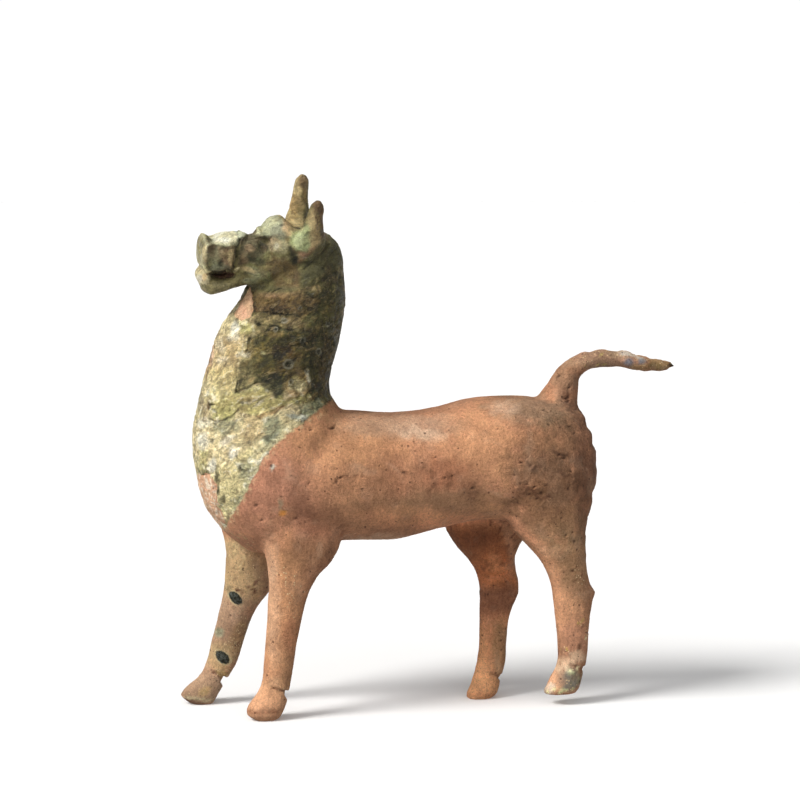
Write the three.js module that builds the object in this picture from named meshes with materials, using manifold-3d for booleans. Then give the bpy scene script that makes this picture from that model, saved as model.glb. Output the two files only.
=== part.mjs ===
// A hand-built earthenware tomb horse, standing with its head high and its tail bent back.
// Millimetres, +Z up. The horse faces -X, so its left side is towards -Y.
// The figure is put together as a potter would: trunk, neck and chest, four legs, head, ears and tail,
// joined into one solid, with the eye sockets, nostrils, mouth, ear hollows and fetlock notches cut last.

import * as THREE from "three";
import { mergeVertices } from "three/addons/utils/BufferGeometryUtils.js";
import Module from "manifold-3d";

const wasm = await Module();
wasm.setup();

// Driving dimensions.
const BODY_LENGTH = 280; // front of the chest to the back of the rump
const BACK_HEIGHT = 202; // floor to the lowest part of the back
const BARREL_DEPTH = 87; // back to belly
const BARREL_WIDTH = 86;
const NECK_RISE = 121; // back to the top of the crest
const NECK_WIDTH = 62; // half way up
const LEG_SPREAD = 54; // between the middles of the two forelegs, where they leave the chest
const LEG_WIDTH = 16.5; // across a shin
const HIND_LIFT = 7.5; // the left hind leg is short, and its hoof hangs this far above the floor
const NOTCH_DEPTH = 8.5; // the cut behind each fetlock
const NOTCH_HEIGHT = 9;
const HEAD_LENGTH = 74; // between the ears to the front of the muzzle
const HEAD_WIDTH = 38; // across the brows
const HEAD_ROLL = 17; // degrees, right ear up
const HEAD_TURN = 5; // degrees, to the horse's left
const EAR_LENGTH = 45;
const EAR_SPREAD = 30; // between the two ears' roots
const MOUTH_GAP = 5; // half way along the mouth
const TAIL_REACH = 58; // how far the tail reaches behind the rump
const TAIL_THICKNESS = 12.4;

const BELLY_HEIGHT = BACK_HEIGHT - BARREL_DEPTH;
const UP = new THREE.Vector3(0, 0, 1);

// Smooth curves through the columns of a table. The first column is the place along the piece, and
// crowding above 1 sets the slices closer together towards its start.
function smoothRows(rows, count, crowding = 1) {
  const places = rows.map((row) => row[0]);
  const size = rows[0].length;
  const curve = new THREE.CubicInterpolant(places, rows.flat(), size);
  const first = places[0];
  const last = places[places.length - 1];
  return Array.from({ length: count }, (_, i) => {
    const place = first + (last - first) * (i / (count - 1)) ** crowding;
    return Array.from(curve.evaluate(place));
  });
}

// A ring round a centre: an ellipse at power 2, and squarer above that.
function ring(centre, across, upward, halfAcross, halfUp, sides, power = 2) {
  return Array.from({ length: sides }, (_, i) => {
    const angle = (i / sides) * Math.PI * 2;
    const soft = (v) => Math.sign(v) * Math.abs(v) ** (2 / power);
    return centre
      .clone()
      .addScaledVector(across, halfAcross * soft(Math.cos(angle)))
      .addScaledVector(upward, halfUp * soft(Math.sin(angle)));
  });
}

// A closed skin over a stack of rings, with a fan at each end.
function skin(rings) {
  const sides = rings[0].length;
  const points = rings.flat();
  const faces = [];
  for (let r = 0; r + 1 < rings.length; r++)
    for (let i = 0; i < sides; i++) {
      const a = r * sides + i;
      const b = r * sides + ((i + 1) % sides);
      faces.push(a, b, b + sides, a, b + sides, a + sides);
    }
  const last = (rings.length - 1) * sides;
  const middles = [rings[0], rings[rings.length - 1]].map((r) =>
    r.reduce((sum, p) => sum.add(p), new THREE.Vector3()).divideScalar(sides),
  );
  points.push(...middles);
  for (let i = 0; i < sides; i++) {
    const next = (i + 1) % sides;
    faces.push(points.length - 2, next, i, points.length - 1, last + i, last + next);
  }
  return new THREE.BufferGeometry().setFromPoints(points).setIndex(faces);
}

// A three.js geometry as a solid, turned so that its faces point out.
function solid(geometry) {
  const bare = new THREE.BufferGeometry().setAttribute("position", geometry.getAttribute("position"));
  const merged = mergeVertices(geometry.index ? bare.setIndex(geometry.index) : bare, 1e-4);
  const triVerts = new Uint32Array(merged.index.array);
  const make = () =>
    new wasm.Manifold(
      new wasm.Mesh({ numProp: 3, vertProperties: merged.attributes.position.array, triVerts }),
    );
  const made = make();
  if (made.volume() > 0) return made;
  for (let i = 0; i < triVerts.length; i += 3)
    [triVerts[i + 1], triVerts[i + 2]] = [triVerts[i + 2], triVerts[i + 1]];
  return make();
}

// An egg-shaped solid, for hollows.
function lump(centre, radii, turn = new THREE.Euler(), sides = 16) {
  const sphere = new THREE.SphereGeometry(1, sides, sides / 2);
  const matrix = new THREE.Matrix4().compose(centre, new THREE.Quaternion().setFromEuler(turn), radii);
  return solid(sphere.applyMatrix4(matrix));
}

const xyz = (x, y, z) => new THREE.Vector3(x, y, z);

// The trunk is a stack of upright slices. x is a share of the body's length from the chest, and top
// and bottom are shares of the barrel's depth above the belly.
function trunk() {
  const rows = [
    // x, top, bottom, width, squareness
    [0.07, 0.62, 0.3, 0.34, 2.1],
    [0.1, 0.86, 0.12, 0.74, 2.15],
    [0.16, 0.99, 0.0, 1.0, 2.2],
    [0.27, 1.03, -0.01, 1.1, 2.3],
    [0.38, 1.03, 0.015, 1.06, 2.25],
    [0.486, 1.0, 0.005, 1.0, 2.2],
    [0.59, 1.03, 0.075, 0.98, 2.2],
    [0.7, 1.1, 0.14, 1.02, 2.3],
    [0.79, 1.115, 0.12, 1.09, 2.3],
    [0.86, 1.09, 0.06, 1.11, 2.3],
    [0.93, 1.02, 0.04, 0.98, 2.2],
    [0.972, 0.9, 0.14, 0.74, 2.1],
    [0.99, 0.7, 0.36, 0.36, 2.0],
  ];
  const rings = smoothRows(rows, 30).map(([x, top, bottom, width, power]) => {
    const middle = (top + bottom) / 2;
    const centre = xyz(x * BODY_LENGTH, 0, BELLY_HEIGHT + middle * BARREL_DEPTH);
    const halfUp = ((top - bottom) / 2) * BARREL_DEPTH;
    return ring(centre, xyz(0, 1, 0), UP, (width * BARREL_WIDTH) / 2, halfUp, 24, power);
  });
  return solid(skin(rings));
}

// The chest and neck are a column of level slices. z is 0 at the belly, 1 at the back and 2 at the top
// of the crest; front and back are shares of the body's length.
function neckAndChest() {
  const rows = [
    // z, front, back, width, narrowing of the throat
    [-0.06, 0.14, 0.26, 0.5, 0.0],
    [0.07, 0.086, 0.3, 1.08, 0.0],
    [0.26, 0.038, 0.36, 1.4, 0.05],
    [0.45, 0.016, 0.4, 1.52, 0.1],
    [0.63, 0.005, 0.41, 1.54, 0.14],
    [0.82, 0.0, 0.4, 1.48, 0.18],
    [1.0, 0.006, 0.37, 1.34, 0.22],
    [1.08, 0.014, 0.343, 1.24, 0.24],
    [1.17, 0.022, 0.332, 1.14, 0.26],
    [1.28, 0.038, 0.342, 1.06, 0.28],
    [1.41, 0.052, 0.357, 1.0, 0.3],
    [1.54, 0.082, 0.368, 0.95, 0.3],
    [1.65, 0.118, 0.374, 0.9, 0.28],
    [1.75, 0.142, 0.371, 0.84, 0.24],
    [1.85, 0.165, 0.367, 0.76, 0.2],
    [1.93, 0.195, 0.356, 0.62, 0.12],
    [2.0, 0.24, 0.336, 0.34, 0.0],
  ];
  const height = (z) => (z < 1 ? BELLY_HEIGHT + z * BARREL_DEPTH : BACK_HEIGHT + (z - 1) * NECK_RISE);
  const rings = smoothRows(rows, 34).map(([z, front, back, width, narrow]) => {
    const middle = ((front + back) / 2) * BODY_LENGTH;
    const halfLong = ((back - front) / 2) * BODY_LENGTH;
    const slice = ring(xyz(middle, 0, height(z)), xyz(1, 0, 0), xyz(0, 1, 0), halfLong, (width * NECK_WIDTH) / 2, 24);
    for (const p of slice) p.y *= 1 - narrow * Math.max(0, (middle - p.x) / halfLong);
    return slice;
  });
  return solid(skin(rings));
}

// A leg is a column of level slices. z is a share of the leg's length, floor to belly. front and back
// are shares of that length ahead of and behind the hoof's place, and width counts shin widths.
function leg({ x, y, topY, rows, lift = 0 }) {
  const place = x * BODY_LENGTH;
  const aside = (share) => THREE.MathUtils.lerp(y, topY, share) * LEG_SPREAD;
  const rings = smoothRows(rows, 28, 1.8).map(([z, front, back, width]) => {
    const share = Math.min(1, Math.max(0, z));
    const height = lift * Math.max(0, 1 - z) + z * BELLY_HEIGHT;
    const centre = xyz(place + ((front + back) / 2) * BELLY_HEIGHT, aside(share), height);
    return ring(centre, xyz(1, 0, 0), xyz(0, 1, 0), ((back - front) / 2) * BELLY_HEIGHT, (width * LEG_WIDTH) / 2, 12, 2.3);
  });
  return solid(skin(rings));
}

// The wedge cut out behind a fetlock: its edge runs across the leg, at the notch's depth.
function fetlockNotch({ x, y, heel, height, lift = 0 }) {
  const back = 2 * NOTCH_DEPTH;
  const wedge = new THREE.Shape([
    new THREE.Vector2(-NOTCH_DEPTH, 0),
    new THREE.Vector2(back, -NOTCH_DEPTH / 2),
    new THREE.Vector2(back, -NOTCH_HEIGHT),
    new THREE.Vector2(0.55 * NOTCH_HEIGHT - NOTCH_DEPTH, -NOTCH_HEIGHT),
  ]);
  const depth = 3 * LEG_WIDTH;
  const geometry = new THREE.ExtrudeGeometry(wedge, { depth, bevelEnabled: false });
  geometry.rotateX(Math.PI / 2);
  const middle = y * LEG_SPREAD + depth / 2;
  geometry.translate(x * BODY_LENGTH + heel * BELLY_HEIGHT, middle, lift + height * BELLY_HEIGHT);
  return solid(geometry);
}

const FORE_ROWS = [
  // z, front, back, width
  [0.0, -0.078, 0.055, 0.86],
  [0.02, -0.114, 0.078, 1.04],
  [0.048, -0.13, 0.092, 1.14],
  [0.095, -0.11, 0.112, 1.14],
  [0.13, -0.08, 0.118, 1.08],
  [0.17, -0.052, 0.126, 1.02],
  [0.25, -0.028, 0.143, 1.0],
  [0.35, -0.02, 0.16, 1.0],
  [0.47, -0.007, 0.18, 1.02],
  [0.6, 0.0, 0.21, 1.08],
  [0.7, 0.006, 0.236, 1.22],
  [0.77, 0.012, 0.262, 1.4],
  [0.84, 0.01, 0.306, 1.66],
  [0.9, 0.002, 0.365, 1.9],
  [0.96, -0.01, 0.42, 2.05],
  [1.06, -0.04, 0.45, 2.22],
  [1.24, -0.1, 0.47, 2.36],
  [1.42, -0.14, 0.44, 2.3],
  [1.6, -0.12, 0.38, 1.9],
  [1.74, -0.06, 0.28, 1.1],
];

const FAR_FORE_ROWS = [
  [0.0, -0.062, 0.068, 0.86],
  [0.02, -0.098, 0.08, 1.02],
  [0.058, -0.132, 0.1, 1.14],
  [0.085, -0.112, 0.118, 1.14],
  [0.12, -0.074, 0.138, 1.08],
  [0.165, -0.018, 0.165, 1.02],
  [0.25, 0.023, 0.213, 1.0],
  [0.36, 0.052, 0.246, 1.02],
  [0.47, 0.08, 0.28, 1.06],
  [0.57, 0.104, 0.324, 1.16],
  [0.65, 0.12, 0.382, 1.3],
  [0.72, 0.128, 0.44, 1.5],
  [0.84, 0.135, 0.5, 1.82],
  [0.96, 0.135, 0.55, 2.08],
  [1.1, 0.1, 0.58, 2.26],
  [1.28, 0.05, 0.59, 2.36],
  [1.45, 0.02, 0.55, 2.2],
  [1.6, 0.04, 0.48, 1.8],
  [1.72, 0.1, 0.38, 1.1],
];

const HIND_ROWS = [
  [0.0, -0.1, 0.088, 0.92],
  [0.012, -0.104, 0.1, 1.02],
  [0.038, -0.09, 0.118, 1.1],
  [0.096, -0.064, 0.131, 1.12],
  [0.145, -0.036, 0.14, 1.06],
  [0.2, -0.018, 0.157, 1.0],
  [0.33, -0.018, 0.166, 1.0],
  [0.48, -0.034, 0.174, 1.02],
  [0.56, -0.044, 0.19, 1.05],
  [0.64, -0.052, 0.204, 1.1],
  [0.71, -0.062, 0.178, 1.16],
  [0.81, -0.1, 0.156, 1.42],
  [0.9, -0.155, 0.148, 1.8],
  [0.98, -0.225, 0.146, 2.1],
  [1.06, -0.3, 0.15, 2.34],
  [1.2, -0.37, 0.165, 2.56],
  [1.36, -0.38, 0.18, 2.62],
  [1.52, -0.32, 0.165, 2.4],
  [1.66, -0.22, 0.1, 1.7],
];

const FAR_HIND_ROWS = [
  [0.0, -0.08, 0.068, 0.92],
  [0.012, -0.085, 0.094, 1.02],
  [0.038, -0.072, 0.115, 1.1],
  [0.083, -0.05, 0.127, 1.12],
  [0.14, -0.03, 0.142, 1.06],
  [0.2, -0.012, 0.164, 1.0],
  [0.32, 0.006, 0.175, 1.0],
  [0.46, 0.012, 0.194, 1.02],
  [0.55, 0.016, 0.222, 1.05],
  [0.63, 0.017, 0.262, 1.1],
  [0.7, 0.01, 0.258, 1.16],
  [0.77, -0.01, 0.246, 1.35],
  [0.86, -0.074, 0.242, 1.7],
  [0.94, -0.145, 0.29, 2.0],
  [1.06, -0.2, 0.4, 2.3],
  [1.22, -0.2, 0.52, 2.5],
  [1.42, -0.1, 0.56, 2.5],
  [1.58, 0.05, 0.5, 2.1],
];

// x is a share of the body's length; y, at the floor, and topY are shares of the legs' spread.
const LEGS = {
  leftFore: { x: 0.164, y: -0.5, topY: -0.445, rows: FORE_ROWS, heel: 0.15, height: 0.175 },
  rightFore: { x: 0.035, y: 0.611, topY: 0.445, rows: FAR_FORE_ROWS, heel: 0.161, height: 0.168 },
  leftHind: { x: 0.894, y: -0.389, topY: -0.426, rows: HIND_ROWS, heel: 0.18, height: 0.172, lift: HIND_LIFT },
  rightHind: { x: 0.717, y: 0.185, topY: 0.426, rows: FAR_HIND_ROWS, heel: 0.172, height: 0.147 },
};

// The tail climbs out of the rump and bends back level. Places are shares of its reach, from the rump.
function tail() {
  const rump = xyz(BODY_LENGTH, 0, BACK_HEIGHT);
  const route = [
    [-0.5, -0.16],
    [-0.46, 0.08],
    [-0.407, 0.22],
    [-0.345, 0.39],
    [-0.22, 0.515],
    [-0.06, 0.575],
    [0.1, 0.588],
    [0.3, 0.572],
    [0.65, 0.511],
    [0.86, 0.493],
    [0.972, 0.491],
  ].map(([x, z]) => rump.clone().add(xyz(x * TAIL_REACH, 0, z * TAIL_REACH)));
  const thickness = [
    [0, 2.9],
    [0.12, 2.4],
    [0.2, 1.85],
    [0.3, 1.42],
    [0.4, 1.12],
    [0.5, 1.02],
    [0.65, 0.98],
    [0.8, 0.8],
    [0.92, 0.6],
    [0.98, 0.36],
    [1, 0.14],
  ];
  const curve = new THREE.CatmullRomCurve3(route);
  const rings = smoothRows(thickness, 22).map(([along, share]) => {
    const thick = (share * TAIL_THICKNESS) / 2;
    const heading = curve.getTangentAt(along);
    const upward = xyz(0, 1, 0).cross(heading).normalize();
    return ring(curve.getPointAt(along), xyz(0, 1, 0), upward, thick, thick, 12);
  });
  return solid(skin(rings));
}

// The head, in its own frame: between the ears at the origin, the muzzle towards -X. Places and sizes
// are shares of the head's length, apart from the half width, which is a share of half its width.
function skull() {
  const rows = [
    // x, top, bottom, half width, squareness
    [-0.985, 0.16, -0.04, 0.52, 3.4],
    [-0.968, 0.196, -0.066, 0.66, 4.6],
    [-0.93, 0.2, -0.07, 0.7, 4.8],
    [-0.875, 0.186, -0.064, 0.71, 4.7],
    [-0.8, 0.217, -0.058, 0.715, 4.6],
    [-0.7, 0.228, -0.062, 0.72, 3.8],
    [-0.62, 0.222, -0.15, 0.72, 3.3],
    [-0.5, 0.218, -0.218, 0.78, 3.0],
    [-0.34, 0.25, -0.224, 0.9, 2.7],
    [-0.2, 0.285, -0.225, 1.0, 2.4],
    [-0.05, 0.29, -0.225, 1.03, 2.3],
    [0.1, 0.265, -0.26, 1.0, 2.2],
    [0.22, 0.205, -0.26, 0.86, 2.1],
    [0.315, 0.1, -0.2, 0.6, 2.0],
    [0.345, 0.0, -0.1, 0.25, 2.0],
  ];
  const pair = ([x, y, z], reach, [mx, my, mz], edge) => [
    { at: [x, y, z], reach, move: [mx, my, mz], edge },
    { at: [x, -y, z], reach, move: [mx, -my, mz], edge },
  ];
  const forms = [
    ...pair([-0.835, 0.19, 0.075], [0.1, 0.1, 0.1], [0, -0.042, 0], 3), // nostril
    ...pair([-0.68, 0.19, 0.08], [0.028, 0.1, 0.15], [0, -0.035, 0], 1.6), // groove behind the muzzle
    ...pair([-0.5, 0.2, 0.11], [0.15, 0.12, 0.115], [0, -0.09, 0], 2.6), // eye socket
    ...pair([-0.5, 0.15, 0.24], [0.17, 0.07, 0.05], [0, 0.02, 0.035], 2), // brow
    ...pair([-0.53, 0.13, 0.13], [0.06, 0.1, 0.05], [0, 0.05, 0], 1.6), // eyeball
    ...pair([-0.25, 0.24, 0.12], [0.09, 0.1, 0.1], [0, 0.04, 0.01], 1.6), // cheekbone
    ...pair([-0.42, 0.2, -0.07], [0.15, 0.1, 0.05], [0, 0.012, 0], 1.6), // jaw muscle
    { at: [-0.955, 0, 0.2], reach: [0.04, 0.08, 0.08], move: [-0.005, 0, 0.055], edge: 1.6 }, // tip
    { at: [-0.29, 0.045, 0.27], reach: [0.1, 0.13, 0.1], move: [0, 0, 0.125], edge: 1.8 }, // forehead
  ];
  return crossSections(rows, 44, 32, forms);
}

function lowerJaw() {
  const rows = [
    [-1.005, -0.1, -0.17, 0.2, 2.2],
    [-0.99, -0.062, -0.23, 0.45, 2.4],
    [-0.94, -0.05, -0.284, 0.62, 2.7],
    [-0.885, -0.094, -0.306, 0.65, 2.7],
    [-0.78, -0.118, -0.276, 0.68, 2.6],
    [-0.7, -0.095, -0.246, 0.7, 2.6],
    [-0.6, -0.04, -0.222, 0.7, 2.4],
    [-0.42, 0.0, -0.224, 0.8, 2.3],
    [-0.2, 0.0, -0.23, 0.88, 2.2],
    [0.05, 0.0, -0.28, 0.8, 2.1],
  ];
  const drop = (x) => (x < -0.65 ? (0.2 * MOUTH_GAP) / HEAD_LENGTH : 0);
  const lowered = rows.map(([x, top, ...rest]) => [x, top - drop(x), ...rest]);
  return crossSections(lowered, 18, 18, []);
}

// A stack of upright slices of the head, pushed in or out by its forms. A form moves the points within
// its reach, all of them alike where its edge is sharp and the middle ones most where it is soft.
function crossSections(rows, slices, sides, forms) {
  const rings = smoothRows(rows, slices).map(([x, top, bottom, halfWidth, power]) => {
    const half = (halfWidth * HEAD_WIDTH) / 2 / HEAD_LENGTH;
    return ring(xyz(x, 0, (top + bottom) / 2), xyz(0, 1, 0), UP, half, (top - bottom) / 2, sides, power);
  });
  for (const p of rings.flat()) {
    const shift = xyz(0, 0, 0);
    for (const { at, reach, move, edge } of forms) {
      const away = p.toArray().reduce((sum, v, i) => sum + ((v - at[i]) / reach[i]) ** 4, 0) ** 0.25;
      shift.addScaledVector(xyz(...move), 1 / (1 + away ** (2 * edge)));
    }
    p.add(shift).multiplyScalar(HEAD_LENGTH);
  }
  return solid(skin(rings));
}

function head() {
  return skull().add(lowerJaw());
}

// An ear, in the head's frame: a leaf that is hollow on its outer face. Places and sizes are shares
// of the ear's length, and broad widens it at the root.
function ear({ side, tall, broad, lean, hollowX }) {
  const rows = [
    // place, half width, half thickness
    [0.0, 0.16, 0.15],
    [0.14, 0.22, 0.16],
    [0.3, 0.225, 0.15],
    [0.5, 0.17, 0.13],
    [0.7, 0.125, 0.1],
    [0.88, 0.108, 0.09],
    [0.965, 0.084, 0.07],
    [1.0, 0.035, 0.03],
  ];
  const long = tall * EAR_LENGTH;
  const root = xyz(-0.055 * HEAD_LENGTH, (side * EAR_SPREAD) / 2, 0.07 * HEAD_LENGTH);
  const rings = smoothRows(rows, 14).map(([place, wide, thick]) => {
    const widened = wide * (1 + (broad - 1) * (1 - place));
    const centre = root.clone().add(xyz(lean * place * long, side * 0.12 * place * long, place * long));
    return ring(centre, xyz(1, 0, 0), xyz(0, 1, 0), widened * long, thick * long, 14);
  });
  const centre = root.clone().add(xyz(hollowX * long, side * 0.3 * long, 0.36 * long));
  const radii = xyz(0.16 * broad * long, 0.17 * long, 0.28 * long);
  return solid(skin(rings)).subtract(lump(centre, radii, new THREE.Euler(0, 0.25, 0), 12));
}

const EARS = [
  { side: -1, tall: 0.94, broad: 1.25, lean: 0.1, hollowX: -0.05 },
  { side: 1, tall: 1.05, broad: 0.76, lean: 0.075, hollowX: 0 },
];

// Where the head sits on the neck.
function headPlace() {
  const degrees = THREE.MathUtils.degToRad;
  return new THREE.Matrix4().compose(
    xyz(0.275 * BODY_LENGTH, -0.032 * NECK_WIDTH, BACK_HEIGHT + 0.87 * NECK_RISE),
    new THREE.Quaternion().setFromEuler(new THREE.Euler(degrees(HEAD_ROLL), 0, degrees(HEAD_TURN), "ZYX")),
    xyz(1, 1, 1),
  );
}

function buildHorse() {
  let made = trunk().add(neckAndChest()).add(tail());
  for (const part of Object.values(LEGS)) made = made.add(leg(part));
  let face = head();
  for (const part of EARS) face = face.add(ear(part));
  made = made.add(face.transform(headPlace().elements));
  for (const part of Object.values(LEGS)) made = made.subtract(fetlockNotch(part));
  return made;
}

// A solid as a three.js geometry.
function geometryOf(made) {
  const { vertProperties, triVerts, numProp, numVert } = made.getMesh();
  const positions = new Float32Array(numVert * 3);
  for (let i = 0; i < numVert; i++)
    positions.set(vertProperties.subarray(i * numProp, i * numProp + 3), i * 3);
  const geometry = new THREE.BufferGeometry();
  geometry.setAttribute("position", new THREE.BufferAttribute(positions, 3));
  geometry.setIndex(new THREE.BufferAttribute(triVerts, 1));
  geometry.computeVertexNormals();
  return geometry;
}

const terracotta = new THREE.MeshStandardMaterial({ color: 0xa9735a, roughness: 0.85, metalness: 0 });
const horse = new THREE.Mesh(geometryOf(buildHorse()), terracotta);
horse.name = "horse";

// The frame's origin is on the floor, under the middle of the figure's box.
const box = new THREE.Box3().setFromObject(horse);
const middle = box.getCenter(new THREE.Vector3());
horse.position.set(-middle.x, -middle.y, -box.min.z);

const figure = new THREE.Group();
figure.add(horse);
export default figure;
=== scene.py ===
"""A tomb-pottery horse: red-brown earthenware with worn green glaze on the head, neck and chest."""
import itertools
import math

import bmesh
import bpy
import numpy as np
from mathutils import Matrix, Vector
from mathutils.bvhtree import BVHTree


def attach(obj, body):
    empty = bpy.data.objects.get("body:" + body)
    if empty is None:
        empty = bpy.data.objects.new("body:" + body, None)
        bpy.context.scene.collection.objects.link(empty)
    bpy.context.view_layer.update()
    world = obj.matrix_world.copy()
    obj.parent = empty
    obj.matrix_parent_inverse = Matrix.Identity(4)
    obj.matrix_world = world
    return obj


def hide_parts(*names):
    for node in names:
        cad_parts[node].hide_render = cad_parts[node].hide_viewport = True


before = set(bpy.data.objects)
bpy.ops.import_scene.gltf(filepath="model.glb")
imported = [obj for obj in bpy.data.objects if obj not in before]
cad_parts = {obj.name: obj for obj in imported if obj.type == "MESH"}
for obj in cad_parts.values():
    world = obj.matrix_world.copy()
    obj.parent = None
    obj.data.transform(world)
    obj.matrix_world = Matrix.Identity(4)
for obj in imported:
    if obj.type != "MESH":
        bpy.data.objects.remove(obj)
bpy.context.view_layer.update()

MM = 0.001
SEED = 1923

# The photograph's camera. VIEW_TARGET shows at VIEW_TARGET_PIXEL; VIEW_MIDDLE is the picture's middle.
VIEW_AZIMUTH = math.radians(-12)
VIEW_ELEVATION = math.radians(7)
VIEW_DISTANCE = 1.8
VIEW_TARGET = np.array([-0.0299, -0.031, 0.18])
VIEW_TARGET_PIXEL = (400, 450)
VIEW_MIDDLE = (400, 400)
PIXEL_SIZE = 0.669 * MM  # at the target
IMAGE_SIZE = 800
SENSOR = 36

# Where the head sits on the neck, as in the solid.
HEAD_PLACE = np.array([-0.0886, -0.002, 0.3073])
HEAD_ROLL = math.radians(17)
HEAD_TURN = math.radians(5)

VOXEL = 2.15 * MM
FLOW_SLOPE = math.radians(18)  # of the way that the glaze has run

# Where one region gives way to the next: rows and columns of the picture, or millimetres.
HEAD_ROWS, HEAD_COLUMNS, HEAD_BEHIND = (298, 290), (350, 340), 290
JAW_SLOPE = 0.55
HOOF_TOP, LEG_TOP, HOCK = (37, 30), (112, 92), (48, 60)
TAIL_FOOT, TAIL_START = (212, 222), (50, 70)
BELLY = (122, 112)
RIGHT_FORE_Y, RIGHT_FORE_X = (4, 12), (-60, -80)
RIGHT_HIND_TOP, RIGHT_HIND_Y, RIGHT_HIND_X, RIGHT_HIND_FRONT = (128, 112), (-6, -2), (72, 66), (-30, 0)
HIND_SLOPE, HIND_BEND = 0.35, 60
NEAR_SIDE_Y = (-2, -8)
GLAZE_FLOOR, GLAZE_END = (112, 118), 116
CHEST_COLUMNS = 340

# Heights of the unevenness, in millimetres.
SLOW_LUMPS, SMALL_LUMPS, GLAZE_LUMPS, GLAZE_GRAIN, GLAZE_CREASES = 0.5, 0.16, 0.6, 0.16, 0.55
RUMP_LUMPS, REAR_LUMPS, REAR_CRUMPLES, TAIL_LUMPS, TAIL_CRUMPLES = 0.5, 0.8, 0.5, 0.5, 0.4
WIPE_DEPTH, FACE_GRAIN, RIM_HEIGHT = 0.16, 0.25, 0.45
CREASE_DEPTH, CREASE_WIDTH = 1.1, 2.4

# The view's axes and the head's sideways axis, towards its right ear.
sin_a, cos_a = math.sin(VIEW_AZIMUTH), math.cos(VIEW_AZIMUTH)
sin_e, cos_e = math.sin(VIEW_ELEVATION), math.cos(VIEW_ELEVATION)
BACK = np.array([sin_a * cos_e, -cos_a * cos_e, sin_e])
RIGHT = np.array([cos_a, sin_a, 0.0])
UP = np.cross(BACK, RIGHT)
EYE = VIEW_TARGET + BACK * VIEW_DISTANCE
FOCAL = VIEW_DISTANCE / PIXEL_SIZE
HEAD_SIDE = np.array([
    -math.sin(HEAD_TURN) * math.cos(HEAD_ROLL),
    math.cos(HEAD_TURN) * math.cos(HEAD_ROLL),
    math.sin(HEAD_ROLL),
])


def pixels(points):
    """Where points fall in the photograph's view: (n, 2) of column and row."""
    away = points - EYE
    depth = -(away @ BACK)
    column = VIEW_TARGET_PIXEL[0] + FOCAL * (away @ RIGHT) / depth
    row = VIEW_TARGET_PIXEL[1] - FOCAL * (away @ UP) / depth
    return np.stack([column, row], -1)


# Noise, the same every run.
def lattice(i, j, k, seed):
    h = (i * 374761393 + j * 668265263 + k * 2147483647 + seed * 1274126177) & 0xFFFFFFFF
    h = ((h ^ (h >> 13)) * 1103515245) & 0xFFFFFFFF
    h = ((h ^ (h >> 16)) * 2246822519) & 0xFFFFFFFF
    return ((h ^ (h >> 15)) & 0xFFFFFFFF) / 0xFFFFFFFF * 2 - 1


def noise(points, size, seed):
    """Smooth noise from -1 to 1 with features of about that size, in millimetres."""
    p = points / (size * MM) + 100.0
    base = np.floor(p).astype(np.int64)
    f = p - base
    f = f * f * f * (f * (f * 6 - 15) + 10)
    total = 0.0
    for corner in itertools.product((0, 1), repeat=3):
        weight = np.where(corner, f, 1 - f).prod(1)
        total = total + weight * lattice(*(base + corner).T, seed)
    return total


def layered(points, size, seed, octaves=3, gain=0.5):
    total, strength = 0.0, 0.0
    for octave in range(octaves):
        total = total + gain**octave * noise(points, size / 2**octave, seed + octave)
        strength += gain**octave
    return total / strength


def flowing(points, squeeze):
    """The points squeezed along the way that the glaze has run, for noise drawn out along it."""
    c, d = math.cos(FLOW_SLOPE), math.sin(FLOW_SLOPE)
    along = points[:, 0] * c + points[:, 2] * d
    across = points[:, 2] * c - points[:, 0] * d
    return np.stack([squeeze * along, points[:, 1], across], -1)


def step(low, high, value):
    t = np.clip((value - low) / (high - low), 0, 1)
    return t * t * (3 - 2 * t)


# Places in the picture: how far each place is from a line, or how far inside an outline, in pixels.
def off_line(where, points):
    best = np.full(len(where), 1e9)
    for (u0, v0), (u1, v1) in zip(points, points[1:]):
        du, dv = u1 - u0, v1 - v0
        t = ((where[:, 0] - u0) * du + (where[:, 1] - v0) * dv) / (du * du + dv * dv)
        t = np.clip(t, 0, 1)
        best = np.minimum(best, np.hypot(where[:, 0] - u0 - t * du, where[:, 1] - v0 - t * dv))
    return best


def inside(where, points):
    """Positive inside the outline and negative outside it."""
    within = np.zeros(len(where), bool)
    for (u0, v0), (u1, v1) in zip(points, points[1:] + points[:1]):
        if v0 == v1:
            continue
        crosses = (v0 > where[:, 1]) != (v1 > where[:, 1])
        within ^= crosses & (where[:, 0] < (u1 - u0) * (where[:, 1] - v0) / (v1 - v0) + u0)
    away = off_line(where, points + points[:1])
    return np.where(within, away, -away)


def in_ellipse(where, u, v, ru, rv, turn):
    """0 at an ellipse's middle and 1 at its edge. turn is in degrees, anticlockwise."""
    a = math.radians(turn)
    du, dv = where[:, 0] - u, where[:, 1] - v
    along = (du * math.cos(a) - dv * math.sin(a)) / ru
    aside = (du * math.sin(a) + dv * math.cos(a)) / rv
    return np.hypot(along, aside)


# The mesh.
def remeshed(source, name):
    """The CAD solid's shape as an even mesh, in a new object."""
    mesh = source.data.copy()
    mesh.materials.clear()
    piece = bpy.data.objects.new(name, mesh)
    bpy.context.scene.collection.objects.link(piece)
    voxels = piece.modifiers.new("even", "REMESH")
    voxels.mode = "VOXEL"
    voxels.voxel_size = VOXEL
    shown = piece.evaluated_get(bpy.context.evaluated_depsgraph_get())
    piece.data = bpy.data.meshes.new_from_object(shown)
    piece.modifiers.clear()
    return piece


def fetch(items, key, width, kind):
    values = np.empty(len(items) * width, kind)
    items.foreach_get(key, values)
    return values.reshape(-1, width)


def read(mesh):
    """The mesh's points, and the two points that each edge joins."""
    return fetch(mesh.vertices, "co", 3, float), fetch(mesh.edges, "vertices", 2, np.int64)


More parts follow.
